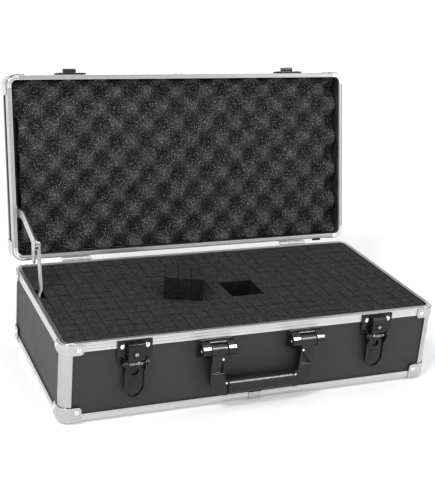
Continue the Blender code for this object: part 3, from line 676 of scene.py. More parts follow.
def build_rails():
    add_piece("rim_rail", bent_rail(rim_profile(False)), ALUMINIUM, "base",
              ["base_rim_rail"])
    add_piece("ground_edge_rail", bent_rail(edge_profile(1.5, 1)), ALUMINIUM, "base",
              ["base_edge_rail"])
    add_piece("lid_meeting_rail", bent_rail(rim_profile(True)), ALUMINIUM_LID, "lid",
              ["lid_rim_rail"], in_lid=True)
    add_piece("lid_outer_rail", bent_rail(edge_profile(LID_TOP, -1)), ALUMINIUM_LID, "lid",
              ["lid_edge_rail"], in_lid=True)
    for name, (side_x, side_y) in CORNERS.items():
        outer = []
        for i in range(POST_STEPS + 1):
            groove = POST_GROOVE * max(0.0, 1 - abs(abs(i - POST_STEPS / 2) - 10.5) / 1.3)
            outer.append((pi / 2 * i / POST_STEPS, CORNER_RADIUS - groove))
        inner = [(pi / 2 * i / 12, POST_INNER_RADIUS) for i in range(12, -1, -1)]
        outline = [(side_x * (HALF_WIDTH - CORNER_RADIUS + radius * cos(turn)),
                    side_y * (HALF_DEPTH - CORNER_RADIUS + radius * sin(turn)))
                   for turn, radius in outer + inner]
        add_piece(f"corner_post_{name}", prism(outline, "Z", 11.8, 84.1), ALUMINIUM_POST, "base",
                  [f"base_post_{name}"], smooth_deg=24)


# ---------------------------------------------------------------- woven panels

def woven_sheet(origin, along_u, along_v, size, thickness):
    """A closed panel whose outer face is covered in small raised diamonds."""
    columns = max(2, 2 * round(size[0] / WEAVE / 2))
    rows = max(2, 2 * round(size[1] / WEAVE / 2))
    origin = Vector(origin)
    along_u = Vector(along_u)
    along_v = Vector(along_v)
    outward = along_u.cross(along_v)
    sheet = bmesh.new()
    front = []
    for j in range(rows + 1):
        line = []
        for i in range(columns + 1):
            border = i in (0, columns) or j in (0, rows)
            raised = 0.0 if border or (i + j) % 2 else WEAVE_RELIEF
            point = (origin + along_u * (size[0] * i / columns) + along_v * (size[1] * j / rows)
                     + outward * (raised - WEAVE_RELIEF))
            line.append(sheet.verts.new(point))
        front.append(line)
    for j in range(rows):
        for i in range(columns):
            a, b = front[j][i], front[j][i + 1]
            c, d = front[j + 1][i + 1], front[j + 1][i]
            if (i + j) % 2:
                sheet.faces.new((a, b, c))
                sheet.faces.new((a, c, d))
            else:
                sheet.faces.new((a, b, d))
                sheet.faces.new((b, c, d))
    rim = grid_rim(front)
    back = [sheet.verts.new(vert.co - outward * thickness) for vert in rim]
    close_behind(sheet, [rim, back])
    return sheet


PANEL_INSET = 1.5
BASE_PANEL_LOW = 6.3
BASE_PANEL_HEIGHT = 85.8


def wall_sheets(low, height, thickness):
    """The woven sheets of the four sides, by side."""
    span_x = HALF_WIDTH - CORNER_RADIUS - PART_GAP
    span_y = HALF_DEPTH - CORNER_RADIUS - PART_GAP
    face_x = HALF_WIDTH - PANEL_INSET
    face_y = HALF_DEPTH - PANEL_INSET
    sides = {"front": ((-span_x, -face_y), (1, 0, 0), span_x),
             "back": ((span_x, face_y), (-1, 0, 0), span_x),
             "left": ((-face_x, span_y), (0, -1, 0), span_y),
             "right": ((face_x, -span_y), (0, 1, 0), span_y)}
    return {name: woven_sheet((*place, low), along, (0, 0, 1), (2 * span, height), thickness)
            for name, (place, along, span) in sides.items()}


def build_panels():
    for name, sheet in wall_sheets(BASE_PANEL_LOW, BASE_PANEL_HEIGHT, 2.9).items():
        look = LAMINATE_FRONT if name in ("front", "back") else LAMINATE_SIDE
        add_piece(f"{name}_wall_panel", sheet, look, "base",
                  [f"base_{name}_panel"], smooth_deg=4)

    floor = prism(case_outline(5.0), "Z", 3.0, 6.0)
    add_piece("floor_panel", bevel(floor, 0.25), LAMINATE, "base",
              ["base_bottom_panel"])

    band_low = CLOSED_RIM + 1.9
    band_high = LID_TOP - 4.8
    bands = wall_sheets(band_low, band_high - band_low, 1.9).values()
    front = PANEL_INSET + 0.3
    back = PANEL_INSET + 2.2
    lining = bent_rail([(front, band_low + 0.1), (front, band_high - 0.1),
                        (back, band_high - 0.1), (back, band_low + 0.1)])
    add_piece("lid_band", gather(*bands, lining), LAMINATE, "lid",
              ["lid_side_band"], in_lid=True, smooth_deg=4)
    reach_x = HALF_WIDTH - 9.6
    reach_y = HALF_DEPTH - 9.6
    skin = woven_sheet((-reach_x, -reach_y, LID_TOP - 1.4), (1, 0, 0), (0, 1, 0),
                       (2 * reach_x, 2 * reach_y), 0.8)
    board = prism(case_outline(4.8), "Z", LID_TOP - 4.5, LID_TOP - 1.75)
    add_piece("lid_top_skin", gather(skin, board), LAMINATE_LID, "lid",
              ["lid_top_panel"], in_lid=True, smooth_deg=4)


# ---------------------------------------------------------------- pressed corners and joiners

def end_drop(distance, rounding):
    """How far a sheet's corner has fallen at a distance from its end, with a round corner."""
    if distance >= rounding:
        return 0.0
    return rounding - sqrt(max(0.0, rounding ** 2 - (rounding - distance) ** 2))


def cap_section(ground, direction, height):
    """Section of a corner cap at a distance from its end, where its top corner is rounded off."""
    def profile_at(distance):
        top = height - end_drop(distance, 4.5) * 0.75
        points = [(-1.2, top - 0.35), (-1.2, top - 1.2)]
        points += arc((4.5, 5.7), 5.7, 180, 270, 9)
        points += [(9.0, 0.0), (9.0, 1.2), (4.5, 1.2)]
        points += arc((4.5, 6.0), 4.8, 270, 180, 6)
        points += [(-0.3, top), (-0.85, top)]
        return [(inset, ground + direction * level) for inset, level in points]
    return profile_at


def bracket_section(distance):
    """Section of a rim bracket, with a round-cornered end and a rolled lower edge."""
    drop = end_drop(distance, 4.0)
    low = RIM - 13.0 + drop * 0.8
    high = RIM - 1.0 - drop * 0.6
    return [(-0.3, low), (-0.75, low), (-1.0, low + 0.3), (-1.0, high - 0.35), (-0.7, high),
            (-0.3, high)]


def rim_corner_section(mirror):
    """Section of the little plates that cover the meeting faces of the rims at their corners."""
    points = [(0.25, RIM - 0.35), (0.7, RIM + 0.03), (1.2, RIM + 0.12), (2.2, RIM + 0.12),
              (2.9, RIM - 0.25), (3.6, RIM + 0.12), (4.8, RIM + 0.12), (5.2, RIM - 0.1),
              (5.2, RIM - 0.9), (0.25, RIM - 0.9)]
    if mirror:
        points = [(inset, 2 * HINGE_AXIS[1] - height) for inset, height in points]
    return lambda distance: points


def on_side(side_x, side_y, face, along, height, proud):
    """A point on one of the two sides that meet at a corner, and that side's outward direction."""
    if face == "x":
        return ((side_x * (HALF_WIDTH - along), side_y * (HALF_DEPTH + proud), height),
                (0, side_y, 0))
    return ((side_x * (HALF_WIDTH + proud), side_y * (HALF_DEPTH - along), height),
            (side_x, 0, 0))


def corner_rivets(side_x, side_y, along, height, proud, radius=2.5):
    heads = []
    for face in ("x", "y"):
        foot, outward = on_side(side_x, side_y, face, along, height, proud)
        heads.append(rivet(foot, outward, radius))
    return heads


def build_corners():
    base_rivets = []
    lid_rivets = []
    lid_height = LID_TOP + CAP_PROUD - CLOSED_RIM - 2.0
    for name, (side_x, side_y) in CORNERS.items():
        cap = corner_sheet(cap_section(0.0, 1, 20.0), 23.0, side_x, side_y)
        add_piece(f"corner_cap_{name}", cap, PRESSED_STEEL, "base",
                  [f"base_corner_cap_{name}"], smooth_deg=50)
        bracket = corner_sheet(bracket_section, 23.5, side_x, side_y)
        add_piece(f"rim_bracket_{name}", bracket, PRESSED_STEEL, "base",
                  [f"base_rim_bracket_{name}"], smooth_deg=50)
        base_rivets += corner_rivets(side_x, side_y, 18.0, 14.4, 1.2, 3.1)
        base_rivets += corner_rivets(side_x, side_y, 18.2, RIM - 6.6, 1.0, 2.9)
        section = cap_section(LID_TOP + CAP_PROUD, -1, lid_height)
        cap = corner_sheet(section, 23.0, side_x, side_y)
        add_piece(f"lid_cap_{name}", cap, PRESSED_STEEL, "lid",
                  [f"lid_corner_cap_{name}"], in_lid=True, smooth_deg=50)
        lid_rivets += corner_rivets(side_x, side_y, 18.4, LID_TOP - 12.0, 1.2)
    for body, mirror in (("base", False), ("lid", True)):
        plates = []
        for side_x, side_y in CORNERS.values():
            plates.append(corner_sheet(rim_corner_section(mirror), 15.0, side_x, side_y))
        add_piece(f"{body}_rim_corners", gather(*plates), RIVET_STEEL, body,
                  in_lid=mirror, smooth_deg=50)
    add_piece("base_rivets", gather(*base_rivets), RIVET_STEEL, "base")
    add_piece("lid_rivets", gather(*lid_rivets), RIVET_STEEL, "lid", in_lid=True)


def joiner_sleeve(ground, direction):
    """Sleeve pressed round an edge rail's butt joint, with two dimples."""
    face = -FITTING_SEAT
    section = [(face - 0.9, 11.4), (face - 0.9, 5.8)]
    section += arc((-HALF_DEPTH + 4.5, 6.0), 5.7, 180, 270, 6)
    section += [(face + 9.0, 0.3), (face + 9.0, 1.2), (-HALF_DEPTH + 4.5, 1.2)]
    section += arc((-HALF_DEPTH + 4.5, 6.0), 4.8, 270, 180, 5)
    section += [(face, 11.8), (face - 0.5, 11.8)]
    outline = [(y, ground + direction * z) for y, z in section]
    sleeve = bevel(prism(outline, "X", -7.5, 7.5), 0.22, 2, 60)
    return gather(sleeve, *front_rivets(0.0, 3.6, face - 0.9, ground + direction * 8.6, 1.7, 0.5))


def build_joiners():
    add_piece("edge_rail_sleeve", joiner_sleeve(0.0, 1), PRESSED_STEEL, "base",
              ["base_rail_joiner"])
    add_piece("lid_rail_sleeve", joiner_sleeve(LID_TOP + CAP_PROUD, -1), PRESSED_STEEL, "lid",
              ["lid_rail_joiner"], in_lid=True)


# ---------------------------------------------------------------- foam

FOAM_INSET = 5.9
CUBE = 15.0
LAYER_LOW = 66.5
LAYER_TOP = RIM - 1.0
POCKET_BULGE = 1.9
BLOCK_TURN = -20
POCKET_X = (-2.5, 42.5)
POCKET_Y = (-31.0, 14.0)
# The slot at the left edge that the stay folds into, and the end of the strip that fills it.
SLOT_X = -210.5
SLOT_Y = (-56.0, 36.0)
STRIP_BACK = 12.0


def inside_outline(x, y, inset):
    """Pull a point in to the foam's rounded corners."""
    radius = CORNER_RADIUS - inset
    over_x = abs(x) - (HALF_WIDTH - CORNER_RADIUS)
    over_y = abs(y) - (HALF_DEPTH - CORNER_RADIUS)
    reach = hypot(over_x, over_y)
    if over_x > 0 and over_y > 0 and reach > radius:
        x += (over_x * radius / reach - over_x) * (1 if x > 0 else -1)
        y += (over_y * radius / reach - over_y) * (1 if y > 0 else -1)
    return x, y


def foam_noise(x, y, z, size):
    return noise.noise(Vector((x, y, z)) / size)


def cube_lines(low, high, round_off, count):
    """Grid lines across a cube's top, close together where its edges round down."""
    middle = [low + round_off + (high - low - 2 * round_off) * i / count for i in range(count + 1)]
    return [low, low + 0.35] + middle + [high - 0.35, high]


def foam_cube(x, y, z, gap, tilt, step=2.5, inset=FOAM_INSET):
    """One cube of the cut sheet: a soft top that rounds down into the cuts on its four sides."""
    slope_x, slope_y, lift = tilt
    round_off = 1.1
    low_x, high_x = x[0] + gap, x[1] - gap
    low_y, high_y = y[0] + gap, y[1] - gap
    columns = max(1, round((high_x - low_x - 2 * round_off) / step))
    rows = max(1, round((high_y - low_y - 2 * round_off) / step))
    us = cube_lines(low_x, high_x, round_off, columns)
    vs = cube_lines(low_y, high_y, round_off, rows)
    cube = bmesh.new()
    top = []
    for v in vs:
        line = []
        for u in us:
            edge = min(u - low_x, high_x - u, v - low_y, high_y - v)
            sink = 0.5 * max(0.0, 1 - edge / round_off) ** 2
            height = (z[1] - sink + lift + slope_x * (u - (low_x + high_x) / 2)
                      + slope_y * (v - (low_y + high_y) / 2) + 0.16 * foam_noise(u, v, 0, 1.7))
            px, py = inside_outline(u, v, inset)
            line.append(cube.verts.new((px, py, height)))
        top.append(line)
    add_quads(cube, top)
    rings = [grid_rim(top)]
    for level in (z[1] - 4.0, z[1] - 12.0, z[0]):
        ring = []
        for vert in rings[0]:
            bulge = 0.0 if level == z[0] else 0.12 * foam_noise(vert.co.x, vert.co.y, level, 2.3)
            ring.append(cube.verts.new((vert.co.x + bulge, vert.co.y + bulge, level)))
        rings.append(ring)
    close_behind(cube, rings)
    return cube


def random_tilt(amount=1.0):
    """A cube's slopes along X and Y, and how far it stands above the others."""
    return tuple(rng.normal(0, spread) * amount for spread in (0.006, 0.006, 0.1))


def grid_lines(phase, low, high):
    """Cut lines at the cube pitch, with the foam's own edges at both ends and no slivers."""
    first = phase + CUBE * ceil((low + 3.0 - phase) / CUBE)
    lines = [low]
    while first < high - 3.0:
        lines.append(first)
        first += CUBE
    return lines + [high]


def within(low, high, limits):
    """Whether a cube's span lies between two limits, give or take a millimetre."""
    return limits[0] - 1 < low and high < limits[1] + 1


def cut_cubes(half_x, half_y):
    """The cubed layer round its pocket and slot, and the strip of cubes in the slot."""
    cubes = []
    strip = []
    layer = (LAYER_LOW, LAYER_TOP)
    columns = [x for x in grid_lines(POCKET_X[0], -half_x, half_x)
               if x == -half_x or x > SLOT_X + 3]
    rows = grid_lines(POCKET_Y[1], -half_y, half_y)
    for y0, y1 in zip(rows, rows[1:]):
        for x0, x1 in zip(columns, columns[1:]):
            beside = within(y0, y1, POCKET_Y)
            above = within(x0, x1, POCKET_X)
            if beside and above:
                continue
            tilt = random_tilt()
            gap = rng.uniform(0.05, 0.2)
            if beside and abs(x1 - POCKET_X[0]) < 1:
                x1 += POCKET_BULGE
            if beside and abs(x0 - POCKET_X[1]) < 1:
                x0 -= POCKET_BULGE
            if above and abs(y1 - POCKET_Y[0]) < 1:
                y1 += POCKET_BULGE
            if above and abs(y0 - POCKET_Y[1]) < 1:
                y0 -= POCKET_BULGE
            if x0 == columns[0] and y1 > SLOT_Y[0] and y0 < SLOT_Y[1]:
                if y0 < SLOT_Y[0]:
                    cubes.append(foam_cube((x0, SLOT_X), (y0, SLOT_Y[0]), layer, gap, tilt))
                if y1 > SLOT_Y[1]:
                    cubes.append(foam_cube((x0, SLOT_X), (SLOT_Y[1], y1), layer, gap, tilt))
                start, stop = max(y0, SLOT_Y[0]), min(y1, STRIP_BACK)
                if stop - start > 3.0:
                    strip.append(foam_cube((x0, SLOT_X), (start, stop), layer, gap, tilt))
                x0 = SLOT_X
            cubes.append(foam_cube((x0, x1), (y0, y1), layer, gap, tilt))
    return cubes, strip


def build_foam():
    half_x = HALF_WIDTH - FOAM_INSET
    half_y = HALF_DEPTH - FOAM_INSET
    cubes, strip = cut_cubes(half_x, half_y)
    layer = add_piece("cubed_foam_layer", gather(*cubes), CUBED_FOAM, "base",
                      ["base_foam_upper"], smooth_deg=60)

    # The strip of cubes that fills the slot; on the real case the folding stay presses it down to
    # where its lock plate comes to rest.
    strip = add_piece("slot_foam_strip", gather(*strip), CUBED_FOAM, "base",
                      smooth_deg=60)
    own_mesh(strip)

    flat = (0, 0, -0.2)
    slab = foam_cube((-half_x, half_x), (-half_y, half_y), (14.3, 66.2), 0.0, flat, 3.6)
    lower = add_piece("foam_core", slab, SHADED_CORE_FOAM, "base", ["base_foam_lower"],
                      smooth_deg=60)
    slab = foam_cube((-half_x, half_x), (-half_y, half_y), (6.3, 14.0), 0.0, flat, 8.0)
    pad = add_piece("foam_floor_pad", slab, CUBED_FOAM, "base", ["base_foam_pad"],
                    smooth_deg=60)
    build_loose_block()


def build_loose_block():
    """The plucked block, three cubes by three, standing turned beside its pocket."""
    low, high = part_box("foam_block")
    centre = Vector(((low.x + high.x) / 2, (low.y + high.y) / 2)) / MM
    centre.y -= CENTRE_Y / MM
    ground = low.z / MM
    height = (high.z - low.z) / MM
    loose = []
    for i in (-1, 0, 1):
        for j in (-1, 0, 1):
            x = ((i - 0.5) * CUBE, (i + 0.5) * CUBE)
            y = ((j - 0.5) * CUBE, (j + 0.5) * CUBE)
            gap = rng.uniform(0.16, 0.3)
            loose.append(foam_cube(x, y, (0.0, height), gap, random_tilt(0.8), 2.0))
    block = gather(*loose)
    turn = (Matrix.Translation((centre.x, centre.y, ground))
            @ Matrix.Rotation(radians(BLOCK_TURN), 4, "Z"))
    bmesh.ops.transform(block, verts=block.verts, matrix=turn)
    block = add_piece("loose_foam_block", block, SHADED_LOOSE_FOAM, "foam_block",
                      ["foam_block"], smooth_deg=60)
    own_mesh(block)


EGG_X = 40.2
EGG_Y = 42.8
EGG_START = (-187.0, -89.3)
LID_SLOT = (-210.5, -60.0, 76.0)


def egg_crate(x, y):
    """Depth of the waved foam's face: rounded peaks and pits in a chequered lattice."""
    wave = -cos(2 * pi * (x - EGG_START[0]) / EGG_X) * cos(2 * pi * (y - EGG_START[1]) / EGG_Y)
    wave += 0.10 * foam_noise(x, y, 3, 26.0)
    share = min(1.0, max(0.0, (1 - wave) / 2))
    share = share * share * (3 - 2 * share) * 0.35 + share * 0.65
    grain = 0.55 * foam_noise(x, y, 9, 2.6) + 0.3 * foam_noise(x, y, 5, 5.5)
    return FOAM_FACE + 0.9 + (FOAM_VALLEY - FOAM_FACE) * share + grain * 0.8


def build_lid_foam():
    half_x = HALF_WIDTH - FOAM_INSET
    half_y = HALF_DEPTH - FOAM_INSET
    step = 1.7
    columns = round(2 * half_x / step)
    rows = round(2 * half_y / step)
    back = LID_TOP - 5.0
    foam = bmesh.new()
    front = []
    for j in range(rows + 1):
        line = []
        y = -half_y + 2 * half_y * j / rows
        for i in range(columns + 1):
            x = -half_x + 2 * half_x * i / columns
            if x < LID_SLOT[0] and LID_SLOT[1] < y < LID_SLOT[2]:
                x = LID_SLOT[0] - 0.02 * (LID_SLOT[0] - x)
            edge = min(half_x - abs(x), half_y - abs(y))
            depth = egg_crate(x, y) + 0.9 * max(0.0, 1 - edge / 1.6) ** 2
            px, py = inside_outline(x, y, FOAM_INSET)
            line.append(foam.verts.new((px, py, min(depth, back - 1.0))))
        front.append(line)
    add_quads(foam, front)
    rim = grid_rim(front)
    base = [foam.verts.new((vert.co.x, vert.co.y, back)) for vert in rim]
    close_behind(foam, [rim, base])
    piece = add_piece("waved_lid_foam", foam, WAVED_FOAM, "lid", ["lid_foam"],
                      in_lid=True, smooth_deg=70)


# ---------------------------------------------------------------- hinges and bumper

def hinge_leaf(x, direction, knuckles):
    face = FITTING_SEAT
    centre = HINGE_AXIS
    root = centre[1] + direction * 3.35
    end = centre[1] + direction * 9.6
    low, high = sorted((root, end))
    pieces = [rounded_plate((x - 18, x + 18), (low, high), 1.4, "Y", face, face + 1.2, 0.2)]
    for start, stop in knuckles:
        inner = sorted((root + direction * 0.5, centre[1] + direction * 0.9))
        pieces.append(box((x + start, x + stop), (face, face + 1.2), inner))
        pieces.append(bevel(cylinder("X", centre, 3.0, x + start, x + stop), 0.25, 2, 60))
    for offset in (-12.0, 12.0):
        pieces.append(rivet((x + offset, face + 1.2, (low + high) / 2), (0, 1, 0), 1.9, 0.8))
    return gather(*pieces)


def build_hinges():
    for name in ("left", "right"):
        x = centre_x(f"hinge_{name}_pin")
        add_piece(f"hinge_{name}_lower_leaf", hinge_leaf(x, -1, [(-18, -6.3), (6.3, 18)]),
                  HINGE_STEEL, "base", [f"hinge_{name}_base_leaf"])
        add_piece(f"hinge_{name}_upper_leaf", hinge_leaf(x, 1, [(-6, 6)]), HINGE_STEEL, "lid",
                  [f"hinge_{name}_lid_leaf"], in_lid=True)
        pin = [cylinder("X", HINGE_AXIS, 1.1, x - 18.5, x + 18.5, 16)]
        pin += end_rivets(x, 18.3, HINGE_AXIS, 2.0, 0.9)
        add_piece(f"hinge_{name}_rod", gather(*pin), RIVET_STEEL, "base",
                  [f"hinge_{name}_pin"])
    x = centre_x("lid_rest_bumper")
    low = CLOSED_RIM + 1.5
    bumper = rounded_plate((x - 6, x + 6), (low, low + 6), 2.9, "Y", FITTING_SEAT,
                           HALF_DEPTH + 2.8, 0.8, 4)
    add_piece("rubber_bumper", bumper, RUBBER, "lid", ["lid_rest_bumper"],
              in_lid=True)


# ---------------------------------------------------------------- lid stay

ARM_OUTER_X = -217.6
ARM_INNER_X = -214.6
ARM_THICKNESS = 2.4
ARM_REACH = 4.8


def build_stay():
    base = joint_place("stay_base_pivot")
    top = joint_place("stay_lid_pivot")
    turned = LID_TURN.inverted() @ Vector((0, *top))
    folded = (turned.y, turned.z)
    arm_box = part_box("stay_lower_arm")
    outer = ARM_OUTER_X
    inner = ARM_INNER_X
    thickness = ARM_THICKNESS
    drill = (outer - 2, outer + 4)
    elbow = ((arm_box[1].y - CENTRE_Y) / MM - ARM_REACH, arm_box[1].z / MM - ARM_REACH)

    def bracket(centre, wall, heights):
        plate = rounded_plate((centre[0] - 8, centre[0] + 8), heights, 2.5, "X", wall,
                              outer - PART_GAP, 0.2)
        stud = cylinder("X", centre, 2.0, outer - 0.6, outer + 2.6)
        head = rivet((outer + thickness + 0.3, *centre), (1, 0, 0), 3.8, 1.3)
        screws = [rivet((outer - PART_GAP, centre[0] + offset, heights[0] + 3.0), (1, 0, 0),
                        1.4, 0.5)
                  for offset in (-5.6, 5.6)]
        return gather(plate, stud, head, *screws)

    add_piece("stay_wall_bracket", bracket(base, -220.0, (68.0, 85.1)), ZINC_STEEL, "base",
              ["stay_base_bracket"])
    add_piece("stay_lid_plate", bracket(folded, -219.1, (97.5, 109.0)), ZINC_STEEL, "lid",
              ["stay_lid_bracket"], in_lid=True)

    length = hypot(elbow[0] - base[0], elbow[1] - base[1])
    along = ((elbow[0] - base[0]) / length, (elbow[1] - base[1]) / length)
    across = (-along[1], along[0])
    stations = [(-4.2, 0.6, outer), (-3.9, 1.7, outer), (-2.9, 3.1, outer), (-1.5, 3.9, outer),
                (0.0, 4.2, outer), (7.5, 4.2, outer), (9.0, 4.2, outer + 0.35),
                (13.0, 4.2, inner - 0.35), (14.5, 4.2, inner), (length, 4.2, inner),
                (length + 1.5, 3.9, inner), (length + 2.9, 3.1, inner), (length + 3.9, 1.7, inner),
                (length + 4.2, 0.6, inner)]
    sections = []
    for distance, half_width, x in stations:
        corners = []
        for side, face in ((-1, 0.25), (-0.95, 0.0), (0.95, 0.0), (1, 0.25), (1, thickness - 0.25),
                           (0.95, thickness), (-0.95, thickness), (-1, thickness - 0.25)):
            y = base[0] + along[0] * distance + side * half_width * across[0]
            z = base[1] + along[1] * distance + side * half_width * across[1]
            corners.append((x + face, y, z))
        sections.append(corners)
    arm = cut(loft(sections, closed=False), cylinder("X", base, 2.3, *drill))
    pivot = [cylinder("X", elbow, 1.6, outer - 0.6, inner + 1.0),
             lathe([(4.8, 0.0), (4.8, 0.5), (4.2, 0.85), (0.01, 0.85)], (outer - 0.25, *elbow),
                   (-1, 0, 0)),
             rivet((inner + thickness - 0.1, *elbow), (1, 0, 0), 3.4, 1.5)]
    add_piece("stay_lower_link", gather(arm, *pivot), ZINC_STEEL, "stay_lower",
              ["stay_lower_arm"])

    knee = (top[0] + 0.32 * (elbow[0] - top[0]), top[1] + 0.32 * (elbow[1] - top[1]) + 7.5)
    shoulder = (elbow[0] + 12.0, elbow[1] + 0.5)
    foot = (elbow[0] + 8.0, elbow[1] - 21.0)
    planes = (outer, outer + thickness)
    plate = join(prism(capsule(top, knee, 5.0), "X", *planes),
                 prism(capsule(knee, elbow, 6.0), "X", *planes),
                 prism(capsule(shoulder, foot, 4.2), "X", *planes))
    slot = capsule((elbow[0] + 9.6, elbow[1] - 12.5), (elbow[0] + 8.4, elbow[1] - 19.0), 1.1)
    plate = cut(plate, cylinder("X", top, 2.3, *drill), cylinder("X", elbow, 3.0, *drill),
                prism(slot, "X", *drill))
    add_piece("stay_upper_link", bevel(plate, 0.2, 2, 60), ZINC_STEEL, "stay_upper",
              ["stay_upper_arm"])


# ---------------------------------------------------------------- latches

def coil_spring(x, centre, radius, half_length, wire, turns):
    path = []
    steps = turns * 14
    for i in range(steps + 1):
        turn = 2 * pi * i / 14
        path.append((x - half_length + 2 * half_length * i / steps,
                     centre[0] + radius * cos(turn), centre[1] + radius * sin(turn)))
    return tube(path, wire, 6)


HOUSING_FRONT = -119.0
LOCK_FACE = -119.6
HOUSING_HALF_WIDTH = 9.2


def build_latches():
    axis = joint_place("left_latch_lever")
    lock_z = joint_place("left_key_lock")[1]
    plate_back = -FITTING_SEAT
    plate_front = plate_back - 1.5
    for name in ("left", "right"):
        x = centre_x(f"latch_{name}_body")
        outline = rounded_outline(
            [(x - 19.5, 93), (x + 19.5, 93), (x + 19.5, 74), (x + 17.5, 66), (x + 12.5, 53),
             (x + 9, 50), (x - 9, 50), (x - 12.5, 53), (x - 17.5, 66), (x - 19.5, 74)], 1.8, 4)
        plate = bevel(prism(outline, "Y", plate_front, plate_back), 0.35)
        rim = rounded_plate((x - 17.5, x + 17.5), (91.2, 92.2), 0.45, "Y",
                            plate_front - 0.45, plate_front + 0.3, 0.15)
        ribs = [bevel(prism(rounded_outline([(x + s * 14.2, 71.5), (x + s * 15.4, 71.5),
                                             (x + s * 11.6, 54.5), (x + s * 10.4, 54.5)], 0.4), "Y",
                            plate_front - 0.5, plate_front + 0.3), 0.15) for s in (-1, 1)]
        side = rounded_outline([(plate_front + 0.6, 71.2), (-118.2, 71.2), (HOUSING_FRONT, 72.6),
                                (HOUSING_FRONT, 87.4), (-117.4, 90.5), (plate_front + 0.6, 90.5)],
                               0.9)
        housing = prism(side, "X", x - HOUSING_HALF_WIDTH, x + HOUSING_HALF_WIDTH)
        housing = bevel(housing, 0.7, 3, 60)
        housing = cut(housing, cylinder("Y", (x, lock_z), 4.3, -121, plate_front - 1.2))
        collar = lathe([(4.3, -0.5), (5.4, -0.5), (5.4, 0.25), (5.1, 0.45), (4.4, 0.45),
                        (4.3, 0.3)],
                       (x, HOUSING_FRONT, lock_z), (0, -1, 0), 28, ring=True)
        ear_side = ([(plate_front + 0.6, 62.0), (axis[0], 64.4)] + arc(axis, 3.6, 270, 90, 12)
                    + [(axis[0], 71.6), (plate_front + 0.6, 74.0)])
        ears = [bevel(prism(ear_side, "X", x + low, x + high), 0.25, 2, 60)
                for low, high in ((-13.6, -11.9), (11.9, 13.6))]
        add_piece(f"latch_{name}_plate", gather(plate, rim, *ribs, housing, collar, *ears),
                  BLACK_ENAMEL, "base", [f"latch_{name}_body"], smooth_deg=35)
        heads = front_rivets(x, 13.6, plate_front, 86.2, 3.1, 1.7)
        add_piece(f"latch_{name}_rivets", gather(*heads), RIVET_STEEL, "base")

        face = LOCK_FACE
        barrel = cut(bevel(cylinder("Y", (x, lock_z), 4.0, face, plate_front - 0.4), 0.3, 2, 60),
                     box((x - 0.55, x + 0.55), (face - 1, face + 3.0),
                         (lock_z - 2.2, lock_z + 2.2)),
                     cylinder("Y", (x, lock_z), 2.6, face - 1, face + 0.5))
        add_piece(f"latch_{name}_key_barrel", barrel, BLACK_ENAMEL, f"{name}_lock",
                  [f"latch_{name}_lock_cylinder"])
        core = cut(bevel(cylinder("Y", (x, lock_z), 2.0, face + 0.15, face + 2.4), 0.25, 2, 60),
                   box((x - 0.5, x + 0.5), (face - 1, face + 2.0), (lock_z - 1.8, lock_z + 1.8)))
        add_piece(f"latch_{name}_key_core", core, ZINC_STEEL, f"{name}_lock")

        pin = [cylinder("X", axis, 1.2, x - 14.5, x + 14.5, 16)]
        pin += end_rivets(x, 14.0, axis, 2.1, 1.1)
        add_piece(f"latch_{name}_hinge_pin", gather(*pin), DARK_STEEL, "base",
                  [f"latch_{name}_pin"])
        spring = coil_spring(x, axis, 1.75, 7.5, 0.42, 9)
        add_piece(f"latch_{name}_spring", spring, SPRING_STEEL, "base")
        add_piece(f"latch_{name}_pull", lever_solid(x, axis, lock_z, plate_front), BLACK_ENAMEL,
                  f"{name}_lever", [f"latch_{name}_lever"], smooth_deg=35)

        catch_plate = rounded_plate((x - 19, x + 19), (CLOSED_RIM + 0.7, 108.0), 3.0, "Y",
                                    plate_back - 2.0, plate_back, 0.5, 3)
        hook = rounded_outline([(plate_back - 0.6, 102.3), (plate_back - 5.6, 102.3),
                                (plate_back - 7.3, 103.6), (plate_back - 7.3, 106.4),
                                (plate_back - 0.6, 106.4)], 0.5)
        block = bevel(prism(hook, "X", x - 8, x + 8), 0.3, 2, 60)
        add_piece(f"latch_{name}_keeper", gather(catch_plate, block), BLACK_ENAMEL, "lid",
                  [f"latch_{name}_catch"], in_lid=True, smooth_deg=35)
        heads = front_rivets(x, 13.5, plate_back - 2.0, 101.5, 2.8, 1.6)
        add_piece(f"latch_{name}_keeper_rivets", gather(*heads), RIVET_STEEL, "lid",
                  in_lid=True)


